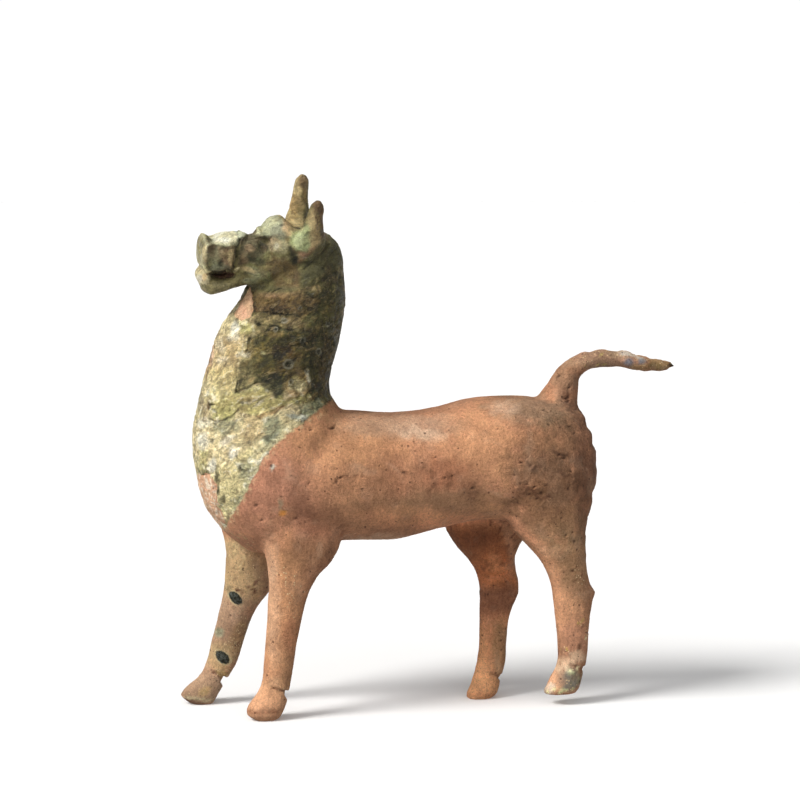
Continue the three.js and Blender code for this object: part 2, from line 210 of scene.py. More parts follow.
def write(mesh, co):
    mesh.vertices.foreach_set("co", co.astype(np.float32).ravel())
    mesh.update()


def relaxed(values, ends, rounds, weight=1.0, shrink=0.5, swell=-0.53):
    """Evens out values over the mesh without shrinking them: Taubin smoothing."""
    count = np.bincount(ends.ravel(), minlength=len(values))
    flat = values.reshape(len(values), -1).copy()
    weight = np.broadcast_to(weight, len(values))
    for turn in range(rounds):
        for factor in (shrink, swell):
            for column in flat.T:
                total = np.bincount(ends[:, 0], column[ends[:, 1]], len(flat))
                total += np.bincount(ends[:, 1], column[ends[:, 0]], len(flat))
                column += factor * weight * (total / count - column)
    return flat.reshape(values.shape)


def zone(points):
    """Weights from 0 to 1 of the horse's regions at each point."""
    u, v = pixels(points).T
    x, y, z = (points / MM).T
    head = step(*HEAD_ROWS, v + JAW_SLOPE * np.maximum(0, u - HEAD_BEHIND)) * step(*HEAD_COLUMNS, u)
    hoof = step(*HOOF_TOP, z)
    leg = step(*LEG_TOP, z)
    tail = step(*TAIL_FOOT, z) * step(*TAIL_START, x)
    notch = np.zeros(len(points))
    for column, row, side in NOTCHES:
        near = step(NOTCH_REACH, NOTCH_REACH - 4, np.hypot(u - column, v - row))
        notch = np.maximum(notch, near * (side * y > 0))
    return {"head": head, "hoof": hoof, "leg": leg, "tail": tail, "notch": notch}


def refine(mesh, wanted):
    """Quarters the faces whose corners are all wanted, for finer carving and painting there."""
    bm = bmesh.new()
    bm.from_mesh(mesh)
    faces = [f for f in bm.faces if all(wanted[v.index] for v in f.verts)]
    edges = sorted({e for f in faces for e in f.edges}, key=lambda e: e.index)
    bmesh.ops.subdivide_edges(bm, edges=edges, cuts=1, use_grid_fill=True, smooth=0)
    bmesh.ops.triangulate(bm, faces=[f for f in bm.faces if len(f.verts) > 4])
    bm.to_mesh(mesh)
    bm.free()


def drawn_back(co, source, weight):
    """Moves points towards the CAD surface, all the way where the weight is 1."""
    tree = BVHTree.FromPolygons([v.co for v in source.vertices], [p.vertices for p in source.polygons])
    moved = co.copy()
    for index in np.nonzero(weight > 0.02)[0]:
        nearest = np.array(tree.find_nearest(co[index])[0])
        moved[index] += weight[index] * (nearest - co[index])
    return moved


# Colours, as the eye reads them in the photograph, from 0 to 255.
def colour(r, g, b):
    c = np.array([r, g, b]) / 255
    return np.where(c <= 0.04045, c / 12.92, ((c + 0.055) / 1.055) ** 2.4)


CLAY = colour(182, 130, 97)
ORANGE = colour(202, 148, 106)
PINK = colour(180, 126, 100)
BRICK = colour(152, 98, 70)
DUN = colour(142, 110, 80)
BUFF = colour(220, 182, 150)
EARTH = colour(100, 66, 46)
SALMON = colour(208, 148, 112)
KHAKI = colour(172, 144, 102)
MAUVE = colour(156, 126, 98)
UMBER = colour(110, 74, 54)
MUSTARD = colour(194, 160, 88)
OCHRE = colour(162, 130, 84)
BRONZE = colour(138, 112, 70)
TAN = colour(196, 170, 122)
CREAM = colour(224, 208, 160)
BUTTER = colour(216, 206, 146)
CHALK = colour(240, 236, 214)
LIME = colour(176, 170, 104)
SAGE = colour(154, 158, 124)
LICHEN = colour(136, 140, 112)
PEWTER = colour(166, 172, 158)
OLIVE = colour(108, 100, 62)
STONE = colour(120, 110, 86)
LODEN = colour(104, 90, 66)
MOSS = colour(80, 78, 50)
BOTTLE = colour(58, 60, 38)
INK = colour(34, 34, 22)
BROWN = colour(112, 86, 58)
MAROON = colour(80, 50, 38)
MINT = colour(172, 180, 128)
CELADON = colour(186, 194, 148)
PALE_GREEN = colour(200, 198, 160)
ROSE = colour(214, 164, 138)
SLATE = colour(96, 100, 92)
LEAD = colour(64, 66, 56)
STEEL = colour(120, 120, 124)
AMBER = colour(204, 136, 60)
RIM_GREY = colour(150, 146, 126)
RIDGE_TAN = colour(208, 174, 138)
CRUMB_CREAM = colour(222, 194, 150)
PIT_BROWN = colour(60, 38, 30)
SMALL_PIT_BROWN = colour(66, 42, 32)

# Modelling and painting, one mark at a time. Places are columns and rows of the photograph's view, which the
# far side shares as in a mirror. Only what is marked "seen" is placed on both sides straight through.
GLAZE_EDGE = (
    (345, 394), (332, 400), (322, 408), (309, 418), (299, 426), (285, 436), (272, 449),
    (263, 459), (259, 468), (252, 480), (244, 496), (235, 510), (228, 522), (222, 534),
)
THROAT_RIDGE = (
    (250, 287), (253, 299), (254, 309), (250, 317), (242, 320), (235, 315), (239, 304), (245, 296),
)
BARE_CHEST = ((196, 475), (211, 475), (217, 484), (218, 505), (223, 518), (224, 535), (196, 540))
RUMP = (548, 470, 44, 70)
REAR = ((574, 405), (600, 405), (604, 560), (578, 560))
FACE = ((194, 270), (196, 232), (262, 226), (292, 236), (290, 262), (272, 284), (200, 284))

# Pits and chips of the clay: column, row, radius in pixels, depth in millimetres.
CLAY_PITS = (
    (241, 467, 1.6, 0.7), (270, 451, 1.4, 0.8), (267, 462, 1.3, 0.7), (272, 466, 2.2, 0.6),
    (276, 445, 1.1, 0.5), (291, 476, 1.3, 0.6), (331, 428, 1.8, 0.9), (334, 427, 2.0, 1.0),
    (308, 484, 1.5, 0.6), (256, 506, 1.7, 0.8), (261, 522, 1.6, 0.8), (295, 518, 1.8, 0.8),
    (307, 500, 1.2, 0.5), (337, 481, 1.4, 0.6), (341, 478, 1.6, 0.7), (347, 476, 1.3, 0.6),
    (353, 475, 1.1, 0.5), (364, 478, 1.1, 0.5), (310, 430, 1.3, 0.5), (300, 448, 1.0, 0.4),
    (404, 472, 1.9, 0.6), (472, 488, 2.0, 0.7), (452, 476, 1.6, 0.6), (436, 459, 1.3, 0.4),
    (444, 478, 1.5, 0.5), (538, 447, 1.2, 0.5), (521, 462, 1.8, 0.8), (531, 466, 2.2, 0.9),
    (528, 456, 1.4, 0.6), (558, 455, 1.6, 0.7), (563, 459, 2.0, 0.9), (571, 472, 1.6, 0.6),
    (534, 487, 1.9, 0.8), (541, 492, 2.3, 1.0), (536, 499, 1.8, 0.8), (529, 494, 1.5, 0.7),
    (545, 484, 1.4, 0.6), (548, 496, 1.3, 0.5), (567, 489, 1.2, 0.5), (526, 484, 1.3, 0.6),
    (570, 427, 1.4, 0.6), (566, 421, 1.2, 0.5), (574, 433, 1.2, 0.5), (527, 418, 1.2, 0.5),
    (498, 428, 1.4, 0.5), (560, 376, 1.5, 0.7), (570, 387, 1.7, 0.8), (567, 398, 2.6, 1.1),
    (569, 402, 2.0, 0.9), (573, 572, 1.5, 0.7), (566, 537, 1.6, 0.6), (573, 541, 1.6, 0.6),
    (586, 633, 1.4, 0.6), (567, 651, 1.3, 0.5), (544, 409, 1.3, 0.4),
)
# Craters of the glaze, with a raised rim: column, row, radius in pixels, depth in millimetres.
CRATERS = (
    (288.5, 364.5, 4.0, 1.0), (284, 320.5, 2.6, 0.5), (303, 340, 2.4, 0.6), (276, 329, 1.8, 0.4),
    (300, 308, 1.6, 0.4), (291, 382, 2.2, 0.4), (307, 372, 2.2, 0.5), (243, 403, 1.5, 0.6),
    (212.5, 440, 2.0, 0.7), (214, 410, 1.4, 0.5), (240, 467.5, 2.0, 0.6), (328, 324, 2.0, 0.4),
    (318, 352, 2.6, 0.4), (249.5, 443, 1.6, 0.5), (312, 384, 1.8, 0.4), (296, 402, 1.2, 0.3),
    (248, 356, 1.8, 0.3),
)

# The fetlocks' notches: column, row, and which side of the horse, -1 for its left.
NOTCHES = ((282, 691, -1), (581, 667, -1), (222, 676, 1), (500, 676, 1))
NOTCH_REACH = 12
# Rough patches of the clay: column, row, half width, half height, height in millimetres.
ROUGH_PATCHES = (
    (534, 490, 19, 16, 1.3), (528, 460, 13, 11, 1.1), (560, 457, 10, 6, 1.1), (569, 478, 8, 12, 0.8),
    (451, 474, 22, 14, 0.6), (568, 538, 8, 12, 0.7), (498, 424, 8, 10, 0.5), (565, 400, 9, 7, 1.0),
    (565, 426, 14, 9, 0.7), (470, 490, 8, 10, 0.7), (405, 470, 10, 16, 0.5), (342, 479, 10, 6, 0.7),
    (322, 524, 22, 12, 0.6), (300, 550, 24, 14, 0.6), (318, 562, 9, 14, 0.5), (576, 577, 10, 12, 0.7),
    (272, 466, 6, 7, 0.8), (290, 516, 14, 6, 0.6), (572, 672, 11, 12, 0.4),
)
# Lumps and dents along the rump's back and the tail: height, column, row, half width, half height.
EDGE_LUMPS = (
    (1.1, 584, 413, 6, 6), (-0.5, 586, 425, 5, 5), (0.8, 588, 436, 4, 5), (-0.4, 590, 447, 4, 3),
    (0.7, 592, 453, 3, 4), (0.5, 594, 471, 4, 5), (-0.7, 593, 494, 5, 3), (0.5, 592, 507, 6, 9),
    (-0.5, 590, 529, 5, 6), (1.0, 594, 592, 5, 7), (0.8, 583, 354, 5, 3), (-0.5, 590, 352, 4, 3),
    (0.5, 600, 350, 7, 3), (-0.4, 614, 350, 5, 3), (0.7, 626, 352, 5, 3), (-0.5, 634, 354, 4, 3),
    (0.4, 645, 357, 5, 3), (-0.4, 652, 358, 4, 3), (0.5, 644, 371, 3, 2.4), (0.6, 660, 369, 5, 3),
    (-0.5, 620, 368, 8, 3), (-0.8, 560, 378, 5, 6), (-1.2, 566, 399, 5, 5), (0.8, 557, 385, 6, 7),
)
# The potter's upright strokes on the flank: column, row, half width, half height.
WIPED = ((455, 472, 62, 30), (535, 520, 26, 34), (280, 620, 20, 80), (572, 610, 18, 50))

# Curves that are both cut and painted. The dark paint along the muzzle's groove, the brow crease and the far
# fetlocks' creases is painted shade.
SHADED_MUZZLE_GROOVE = ((240, 239), (237, 246), (235.5, 256), (233, 267))
CHEEK_RIDGE = ((250, 268), (262, 272), (269, 280))
SHADED_BROW_CREASE = ((292, 226.5), (299, 228.5), (305, 225.5))
SHADED_FAR_CREASES = (
    (0.85, 2.4, ((213, 672), (219, 674.5), (225, 676.5))),
    (0.7, 2.2, ((491, 672), (497, 675), (503, 677))),
)
# Ridges and dents of the clay: (height in millimetres, half width in pixels, points).
STROKES = (
    (-0.8, 2.2, ((253, 292), (254.5, 304), (257, 310))),
    (0.9, 5.0, ((247, 290), (246, 300), (242, 310), (238, 317))),
    (-0.5, 3.0, ((259, 417), (276, 411), (284, 406))), (-0.5, 2.0, ((202, 476), (212, 474))),
    (0.5, 4.0, ((573, 450), (574, 470), (572, 492))), (-0.5, 2.2, ((519, 458), (526, 463), (533, 461))),
    (-0.4, 1.8, ((430, 470), (437, 478), (441, 486))), (-0.3, 1.6, ((448, 462), (451, 474), (456, 481))),
    (-0.35, 2.0, ((405, 462), (403, 470), (407, 478))), (-0.5, 2.0, ((553, 388), (560, 387.5), (566, 384))),
    (-0.4, 1.8, ((566, 384), (571, 380))), (-0.4, 2.4, ((500, 505), (512, 515), (530, 528))),
    (-1.0, 2.2, ((274, 687), (281, 690), (290, 692))), (-0.5, 2.0, ((249, 710), (262, 712.5), (278, 712))),
    (-0.8, 2.2, ((571, 664), (577, 667), (586, 667))),
)

# Cracks of the glaze: (height in millimetres, half width cut, hue, strength, half width painted, points).
CRACKS = (
    (-0.9, 2.2, INK, 0.9, 2.0, ((252, 310), (259, 311.5), (269, 311.5), (274, 313), (284, 314))),
    (-0.5, 1.6, INK, 0.7, 1.5, ((274, 313), (284, 314), (293, 315), (301, 316), (310, 314))),
    (-0.6, 3.0, BOTTLE, 0.8, 3.2, ((260, 325), (271, 326.5), (279, 328), (290, 330.5), (300, 335))),
    (-0.6, 2.0, INK, 0.7, 2.4, ((248.5, 337), (248, 348), (246, 353))),
    (-0.4, 1.8, INK, 0.5, 2.6, ((249, 338), (257, 343), (264, 350))),
    (-0.7, 2.0, BOTTLE, 0.7, 2.4, ((238, 361), (235.5, 372), (237.5, 381), (237, 391))),
    (-0.6, 2.0, BOTTLE, 0.6, 2.8, ((237, 391), (248, 388.5), (256, 382.5), (262, 384), (269, 390))),
    (-0.6, 1.8, INK, 0.9, 1.7, (
        (218, 406), (214, 404), (209, 405), (207.5, 411), (210, 416), (215, 419.5), (219, 420.5),
    )),
    (-0.6, 1.8, INK, 0.85, 1.7, ((220, 420), (225, 419), (231, 414.5), (238.5, 410))),
    (-0.7, 2.2, INK, 0.6, 1.8, ((305, 269), (312, 262), (322, 252), (329, 244))),
    (-0.5, 2.0, INK, 0.5, 1.6, ((322, 268), (330, 256), (338, 246))),
    (-0.8, 1.8, INK, 0.95, 1.6, ((272.5, 292), (276, 290), (282, 289))),
)
CUTS = tuple((height, width, points) for height, width, *_, points in CRACKS)
PAINTED_CRACKS = tuple(row[2:] for row in CRACKS)


class Surface:
    """The mesh's points, with where each one shows in the picture."""

    def __init__(self, mesh):
        self.mesh = mesh
        self.co, self.ends = read(mesh)
        self.head = zone(self.co)["head"]
        self.drift = np.stack([self.wander(SEED + 41), self.wander(SEED + 51)], -1)
        self.rag = layered(self.co, 4.5, SEED + 43, 3, 0.65)
        self.look()

    def wander(self, seed):
        """How far the edges of marks stray, in pixels."""
        return 1.5 * noise(self.co, 6.5, seed) + 0.8 * noise(self.co, 2.6, seed + 1)

    def look(self):
        """Reads the shape again after it has changed."""
        write(self.mesh, self.co)
        self.n = fetch(self.mesh.vertex_normals, "vector", 3, np.float32).astype(float)
        self.x, self.y, self.z = (self.co / MM).T
        self.seen = pixels(self.co)
        across_head = (self.co - HEAD_PLACE) @ HEAD_SIDE / MM
        other_body = pixels(self.co * np.array([1, -1, 1]))
        other_head = pixels(self.co - 2 * MM * across_head[:, None] * HEAD_SIDE)
        of_body = np.where(self.y[:, None] < 0, self.seen, other_body)
        of_head = np.where(across_head[:, None] < 0, self.seen, other_head)
        self.folded = of_body + self.head[:, None] * (of_head - of_body)
        self.across = self.y + self.head * (across_head - self.y)
        self.right_fore = step(*BELLY, self.z) * step(*RIGHT_FORE_Y, self.y) * step(*RIGHT_FORE_X, self.x)
        toward_belly = self.x + HIND_SLOPE * np.maximum(0, self.z - HIND_BEND)
        self.right_hind = step(*RIGHT_HIND_TOP, self.z) * step(*RIGHT_HIND_Y, self.y)
        self.right_hind *= step(*RIGHT_HIND_X, toward_belly) * step(*RIGHT_HIND_FRONT, self.x)

    def where(self, seen=False, stray=1.0):
        return (self.seen if seen else self.folded) + stray * self.drift

    def spot(self, u, v, ru, rv, turn=0, soft=0.3, seen=False, stray=1.0):
        """1 inside an ellipse, 0 outside it, with a soft edge."""
        away = in_ellipse(self.where(seen, stray), u, v, ru, rv, turn)
        return step(1 + soft, 1 - soft, away + 0.3 * stray * self.rag)

    def depth_in(self, u, v, ru, rv, turn):
        """How far inside an ellipse of the picture each point shows, in pixels; negative outside it."""
        return rv * (1 - in_ellipse(self.seen, u, v, ru, rv, turn))

    def line(self, points, width, seen=False, stray=0.35):
        """1 on a line through the points, 0 beyond that many pixels from it."""
        away = off_line(self.where(seen, stray), points)
        return step(width, 0.3 * width, away + 0.5 * width * self.rag)

    def patch(self, points, soft=2.0, seen=False, stray=1.0):
        """1 inside an outline, 0 outside it."""
        return step(-soft, soft, inside(self.where(seen, stray), points) + 2.4 * stray * self.rag)

    def push(self, amount):
        """Moves the surface out by that many millimetres, or in where it is negative."""
        self.co = self.co + self.n * (amount * MM)[:, None]


def left_of(points, where, beyond=60, slant=0.7):
    """How far to the upper left of a falling line each place is, in pixels; negative beyond it."""
    columns = np.array([p[0] for p in points])[::-1]
    rows = np.array([p[1] for p in points])[::-1]
    slope = np.interp(where[:, 0], columns, rows, left=rows[0] + beyond, right=rows[-1] - beyond)
    return (slope - where[:, 1]) * slant


def round_marks(points, marks, margin):
    """Whether each point is near a mark's place on the near side."""
    where = pixels(points)
    wanted = np.zeros(len(points), bool)
    for u, v, radius, *rest in marks:
        wanted |= np.hypot(where[:, 0] - u, where[:, 1] - v) < radius + margin
    return wanted & (points[:, 1] < 0)


def finer_places(points):
    """The glazed near side, the head, the fetlocks' notches, the rump's rough patch and the pits."""
    where = pixels(points)
    above = left_of(GLAZE_EDGE, where) > -5
    wanted = above & (points[:, 1] < 2 * MM) & (points[:, 2] > GLAZE_FLOOR[0] * MM)
    wanted |= zone(points)["head"] > 0.4
    wanted |= zone(points)["notch"] > 0.1
    for u, v, ru, rv, height in ROUGH_PATCHES[:4]:
        wanted |= (np.hypot((where[:, 0] - u) / ru, (where[:, 1] - v) / rv) < 1) & (points[:, 1] < 0)
    return wanted | round_marks(points, CLAY_PITS, 3)


def finest_places(points):
    """The near side of the face, the cracks and the pits."""
    where = pixels(points)
    across = (points - HEAD_PLACE) @ HEAD_SIDE
    wanted = (inside(where, FACE) > 0) & (across < 3 * MM)
    for height, width, line in STROKES + CUTS:
        wanted |= (off_line(where, line) < width + 0.5) & (points[:, 1] < 0) & (where[:, 0] < CHEST_COLUMNS)
    return wanted | round_marks(points, CLAY_PITS, 1.5)


horse = remeshed(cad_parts["horse"], "glazed_horse")
mesh = horse.data
co, ends = read(mesh)
area = zone(co)
softness = 1 - 0.9 * area["head"] - 0.8 * area["hoof"] - 0.5 * area["leg"] * (1 - area["hoof"])
softness = np.clip(softness - 0.4 * area["tail"], 0.06, 1) * (1 - 0.9 * area["notch"])
co = relaxed(co, ends, 70, softness)
write(mesh, co)
refine(mesh, finer_places(co))
co, ends = read(mesh)
refine(mesh, finest_places(co))
co, ends = read(mesh)
area = zone(co)
kept = np.maximum(np.maximum(area["head"], area["hoof"]), area["notch"])
co = drawn_back(co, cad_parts["horse"].data, kept)
co = relaxed(co, ends, 7, 0.85 * kept * (1 - 0.7 * area["notch"]))
write(mesh, co)

s = Surface(mesh)
legs = np.maximum(s.right_fore, s.right_hind)
body_side = 1 - legs
off_head = 1 - s.head
area = zone(s.co)
edge = left_of(GLAZE_EDGE, s.where(stray=0.5))
glazed = step(-4, 4, edge) * step(*GLAZE_FLOOR, s.z)

# Hand-built unevenness: slow lumps all over, finer ones on the glaze, the rump, the tail and behind.
rump = s.spot(*RUMP, soft=0.4)
rear = s.patch(REAR, 6)
s.push(SLOW_LUMPS * layered(s.co, 26, SEED, 3) * (1 - 0.8 * area["head"]) * (1 - 0.5 * area["hoof"]))
s.push(SMALL_LUMPS * layered(s.co, 7, SEED + 10, 2) * (1 - 0.6 * area["head"]))
s.push(GLAZE_LUMPS * layered(s.co, 11, SEED + 12, 3) * glazed * (1 - 0.75 * area["head"]))
drawn = flowing(s.co, 0.5) + 3 * MM * noise(s.co, 11, SEED + 21)[:, None]
creases = layered(drawn, 6, SEED + 22, 3, 0.6)
s.push(-GLAZE_CREASES * step(0.2, 0.0, np.abs(creases)) * glazed * (1 - 0.8 * area["head"]))
s.push(RUMP_LUMPS * layered(s.co, 6, SEED + 15, 2) * (0.6 * rump + 0.3 * area["hoof"]))
crumpled = layered(s.co + 2 * MM * noise(s.co, 8, SEED + 14)[:, None], 5.5, SEED + 16, 3, 0.6)
for *place, height in ROUGH_PATCHES:
    s.push(height * crumpled * s.spot(*place, soft=0.6) * body_side)
s.push(REAR_CRUMPLES * crumpled * (rear + s.right_hind * step(*HOCK, s.z)))
s.push(REAR_LUMPS * layered(s.co, 9, SEED + 17, 2) * rear)
s.push((TAIL_LUMPS * layered(s.co, 8, SEED + 18, 2) + TAIL_CRUMPLES * crumpled) * area["tail"])
s.push(GLAZE_GRAIN * noise(s.co, 3.2, SEED + 19) * glazed)
streaks = noise(s.co * np.array([1, 1, 0.22]), 3.4, SEED + 20)
for place in WIPED:
    s.push(WIPE_DEPTH * streaks * s.spot(*place, soft=0.5) * body_side)
for height, *place in EDGE_LUMPS:
    s.push(height * s.spot(*place, soft=0.6, seen=True))
s.look()

for height, width, points in STROKES + CUTS:
    s.push(height * s.line(points, 0.75 * width))
s.look()

# The face: grooves, hollows and lumps, each (height, column, row, half width, half height, turn).
FACE_LUMPS = (
    (-0.7, 213, 249, 5, 4), (-0.7, 221, 263, 3, 3.4), (0.5, 223, 255, 5, 4), (-1.1, 263, 245, 4.5, 5.5),
    (0.6, 251, 248, 7, 6), (-1.0, 253, 259.5, 7, 3), (-0.6, 261, 262, 4, 3), (0.8, 277, 245, 6, 6),
    (0.7, 272, 255, 9, 3.4), (-0.8, 295, 259, 3.2, 4), (-0.8, 291, 252, 3, 6, 10), (0.6, 204, 276, 6, 5),
    (-0.5, 300, 262, 8, 2.5, -10), (0.4, 305, 239, 6, 8, -15), (1.1, 312, 231, 3.6, 12, -14),
    (1.3, 220, 258, 13, 11), (0.8, 232, 233, 14, 5, 6), (-0.6, 214, 240, 4, 3), (-0.6, 257, 229, 5, 4, -20),
)
FACE_STROKES = (
    (-1.5, 2.4, SHADED_MUZZLE_GROOVE), (0.5, 3.2, ((233.5, 248), (232, 258), (230.5, 267))),
    (1.0, 2.4, ((242, 237), (248, 233), (259, 233), (270, 236.5))),
    (-1.3, 2.8, ((243, 243), (248, 238.5), (258, 238), (268, 241))),
    (1.0, 1.8, ((206, 271.5), (219, 272.5), (231, 271.5), (238, 267.5))),
    (-0.9, 1.7, ((210, 276.5), (220, 277.8), (231, 275.5))), (0.25, 2.0, CHEEK_RIDGE),
    (-0.8, 1.8, SHADED_BROW_CREASE), (-0.6, 1.6, ((314, 207), (316, 216), (318.5, 224))),
    (0.5, 2.0, ((292, 232), (291, 242), (296, 250), (305, 252))),
)
# Where the face's edges are worn round: column, row, half width, half height.
SOFTENED = ((280, 252, 15, 11), (234, 258, 8, 12), (304, 240, 13, 14), (250, 262, 12, 8))
for height, *place in FACE_LUMPS:
    s.push(height * s.spot(*place, soft=0.6, stray=0.5))
for height, width, points in FACE_STROKES:
    s.push(height * s.line(points, width))
s.push(FACE_GRAIN * layered(s.co, 4, SEED + 30, 2) * area["head"])
for strength, width, points in SHADED_FAR_CREASES:
    s.push(-CREASE_DEPTH * s.line(points, CREASE_WIDTH, seen=True) * legs)
for place in SOFTENED:
    s.co = relaxed(s.co, s.ends, 30, 0.9 * s.spot(*place, soft=0.5), swell=-0.5)
s.look()

pit_shade = np.zeros(len(s.co))
for u, v, radius, depth in CLAY_PITS:
    s.push(-depth * s.spot(u, v, 1.2 * radius, 0.7 * radius, 20, 0.7, stray=1.2))
    s.push(0.35 * depth * s.spot(u + 1, v + radius, 1.6 * radius, radius, 0, 0.7))
    pit_shade = np.maximum(pit_shade, s.spot(u, v, 0.9 * radius, 0.55 * radius, 20, 0.5, stray=1.2))
crater_rim = np.zeros(len(s.co))
crater_floor = np.zeros(len(s.co))
for u, v, radius, depth in CRATERS:
    away = np.hypot(*(s.where(stray=0.5) - (u, v)).T)
    rim = step(0.45 * radius, 0.1 * radius, np.abs(away - radius))
    hollow = step(radius, 0.6 * radius, away)
    s.push(RIM_HEIGHT * rim - depth * hollow)
    crater_rim = np.maximum(crater_rim, rim)
    crater_floor = np.maximum(crater_floor, hollow)
s.look()

# The soles rest flat on the floor.
s.co[:, 2] = np.maximum(s.co[:, 2], 0)
s.look()

wide = noise(s.co, 24, SEED + 60)
middle = layered(s.co, 9, SEED + 61, 2)
fine = layered(s.co, 3.4, SEED + 63, 2)

clay = np.tile(CLAY, (len(s.co), 1))
glaze = np.tile(OLIVE, (len(s.co), 1))


def paint(target, hue, weight):
    target += (hue - target) * np.clip(weight, 0, 1)[:, None]


def paint_spots(target, rows, mask, **edge_kind):
    """Rows are (hue, strength, column, row, half width, half height, turn), where a turn of 0 is left out."""
    for hue, strength, *place in rows:
        paint(target, hue, strength * s.spot(*place, **edge_kind) * mask)


def paint_zones(target, rows, mask, stray):
    """Rows are (hue, strength, edge softness, outline)."""
    for hue, strength, soft, points in rows:
        paint(target, hue, strength * s.patch(points, soft, stray=stray) * mask)


# The bare clay. Some of its patches are painted light and shade: the buff bands along the top of the back are
# painted highlight, the dun patches low on the belly are painted shade, and the umber band down the rear edge
# is painted shade.
CLAY_PATCHES = (
    (PINK, 0.8, 265, 480, 42, 85, 34), (ORANGE, 0.75, 350, 440, 60, 24), (BUFF, 0.35, 400, 426, 60, 12, -3),
    (BUFF, 0.6, 420, 432, 26, 6, -6), (ORANGE, 0.35, 350, 475, 44, 40), (ORANGE, 0.55, 480, 445, 34, 34),
    (BRICK, 0.65, 446, 474, 24, 16), (BRICK, 0.3, 398, 482, 12, 40, 14), (BRICK, 0.5, 326, 524, 24, 14),
    (BRICK, 0.25, 300, 508, 30, 12), (EARTH, 0.25, 322, 523, 16, 8, -8), (DUN, 0.6, 440, 505, 70, 14, 3),
    (DUN, 0.5, 405, 515, 14, 12), (DUN, 0.3, 350, 515, 30, 16), (EARTH, 0.35, 470, 488, 10, 12, 20),
    (DUN, 0.75, 535, 410, 44, 16, -8), (BUFF, 0.3, 503, 408, 14, 6), (ORANGE, 0.6, 540, 441, 38, 12, -4),
    (DUN, 0.55, 560, 425, 22, 12, -20), (DUN, 0.65, 548, 485, 34, 40), (EARTH, 0.25, 522, 500, 6, 20),
    (DUN, 0.7, 548, 520, 30, 40, -14), (UMBER, 0.6, 586, 470, 12, 70), (UMBER, 0.6, 572, 398, 10, 14, 30),
    (ORANGE, 0.4, 505, 470, 8, 22), (ORANGE, 0.5, 488, 508, 16, 8, -20), (SALMON, 0.7, 524, 532, 26, 5, -34),
    (BUFF, 0.5, 375, 537, 26, 3, 3),
)
# The near legs. The foreleg's buff front edge is painted highlight and its earth-brown back edge painted
# shade.
NEAR_LEG_PATCHES = (
    (ORANGE, 0.75, 282, 610, 22, 84), (DUN, 0.4, 305, 555, 30, 14, 20), (UMBER, 0.3, 298, 545, 6, 14),
    (EARTH, 0.3, 318, 580, 6, 40, -22), (BUFF, 0.35, 272, 600, 8, 60, 2), (BRICK, 0.55, 290, 636, 8, 20),
    (DUN, 0.4, 286, 672, 8, 22, -4), (SALMON, 0.6, 264, 704, 26, 18), (BRICK, 0.5, 264, 711, 18, 2, 2),
    (SALMON, 0.5, 548, 572, 10, 36, 28), (DUN, 0.6, 574, 560, 14, 50), (UMBER, 0.4, 588, 596, 8, 18),
    (SALMON, 0.45, 566, 612, 14, 22), (PINK, 0.6, 574, 642, 16, 20), (BUFF, 0.8, 566, 664, 12, 7, 20),
    (BUFF, 0.7, 578, 657, 8, 5), (SALMON, 0.6, 552, 682, 10, 10, 30), (SLATE, 0.85, 571, 679, 10, 12),
    (DUN, 0.5, 578, 672, 7, 8), (CHALK, 0.45, 548, 689, 6, 5),
)
near_side = step(*NEAR_SIDE_Y, s.y)
paint_spots(clay, CLAY_PATCHES, body_side, soft=0.6, stray=2.2)
paint_spots(clay, NEAR_LEG_PATCHES, body_side * near_side, soft=0.5, stray=1.4)

# The far legs, placed where the picture shows them. The earth-brown patch on the back of the far foreleg's
# top, under the belly, is painted shade.
FAR_FORE_PATCHES = (
    (KHAKI, 0.9, 240, 565, 30, 42), (EARTH, 0.55, 268, 560, 16, 36, 12), (MAUVE, 0.85, 228, 628, 30, 34),
    (UMBER, 0.35, 240, 640, 8, 34, -16), (OCHRE, 0.4, 238, 640, 9, 20, -16), (KHAKI, 0.75, 218, 656, 17, 14),
    (MAUVE, 0.9, 206, 688, 34, 18), (OCHRE, 0.4, 223, 670, 9, 5, -24), (MUSTARD, 0.35, 205, 691, 7, 4, 20),
    (CREAM, 0.6, 197, 698, 14, 1.6, -6), (UMBER, 0.7, 196, 702, 20, 2, -10), (LICHEN, 0.8, 219, 632, 4.5, 5),
    (MOSS, 0.6, 218, 630, 2.4, 2), (MOSS, 0.5, 229, 588, 5, 3),
)
FAR_HIND_PATCHES = (
    (UMBER, 0.95, 480, 540, 46, 34), (MAROON, 0.5, 470, 532, 26, 16), (BRICK, 0.75, 496, 585, 26, 34),
    (UMBER, 0.5, 497, 588, 16, 6, 12), (BRICK, 0.45, 485, 630, 16, 30), (DUN, 0.7, 500, 650, 8, 30),
    (ORANGE, 0.4, 478, 650, 10, 30, 6), (ORANGE, 0.5, 480, 686, 22, 14), (BRICK, 0.6, 478, 695, 20, 3),
)
paint_spots(clay, FAR_FORE_PATCHES, s.right_fore, soft=0.35, seen=True, stray=0.9)
paint_spots(clay, FAR_HIND_PATCHES, s.right_hind, soft=0.35, seen=True, stray=0.9)

# Stray spots on the clay: column, row, half width, half height, turn.
AMBER_SPOT, GREEN_RUN, GREY_SPOT = (283, 513, 4, 2), (280, 504, 1.6, 6), (273, 467, 2.2, 3, -30)
THROAT_BLUSH = (244, 312, 5, 8, 25)
NEAR_HIND_HOOF = (564, 680, 16, 12)

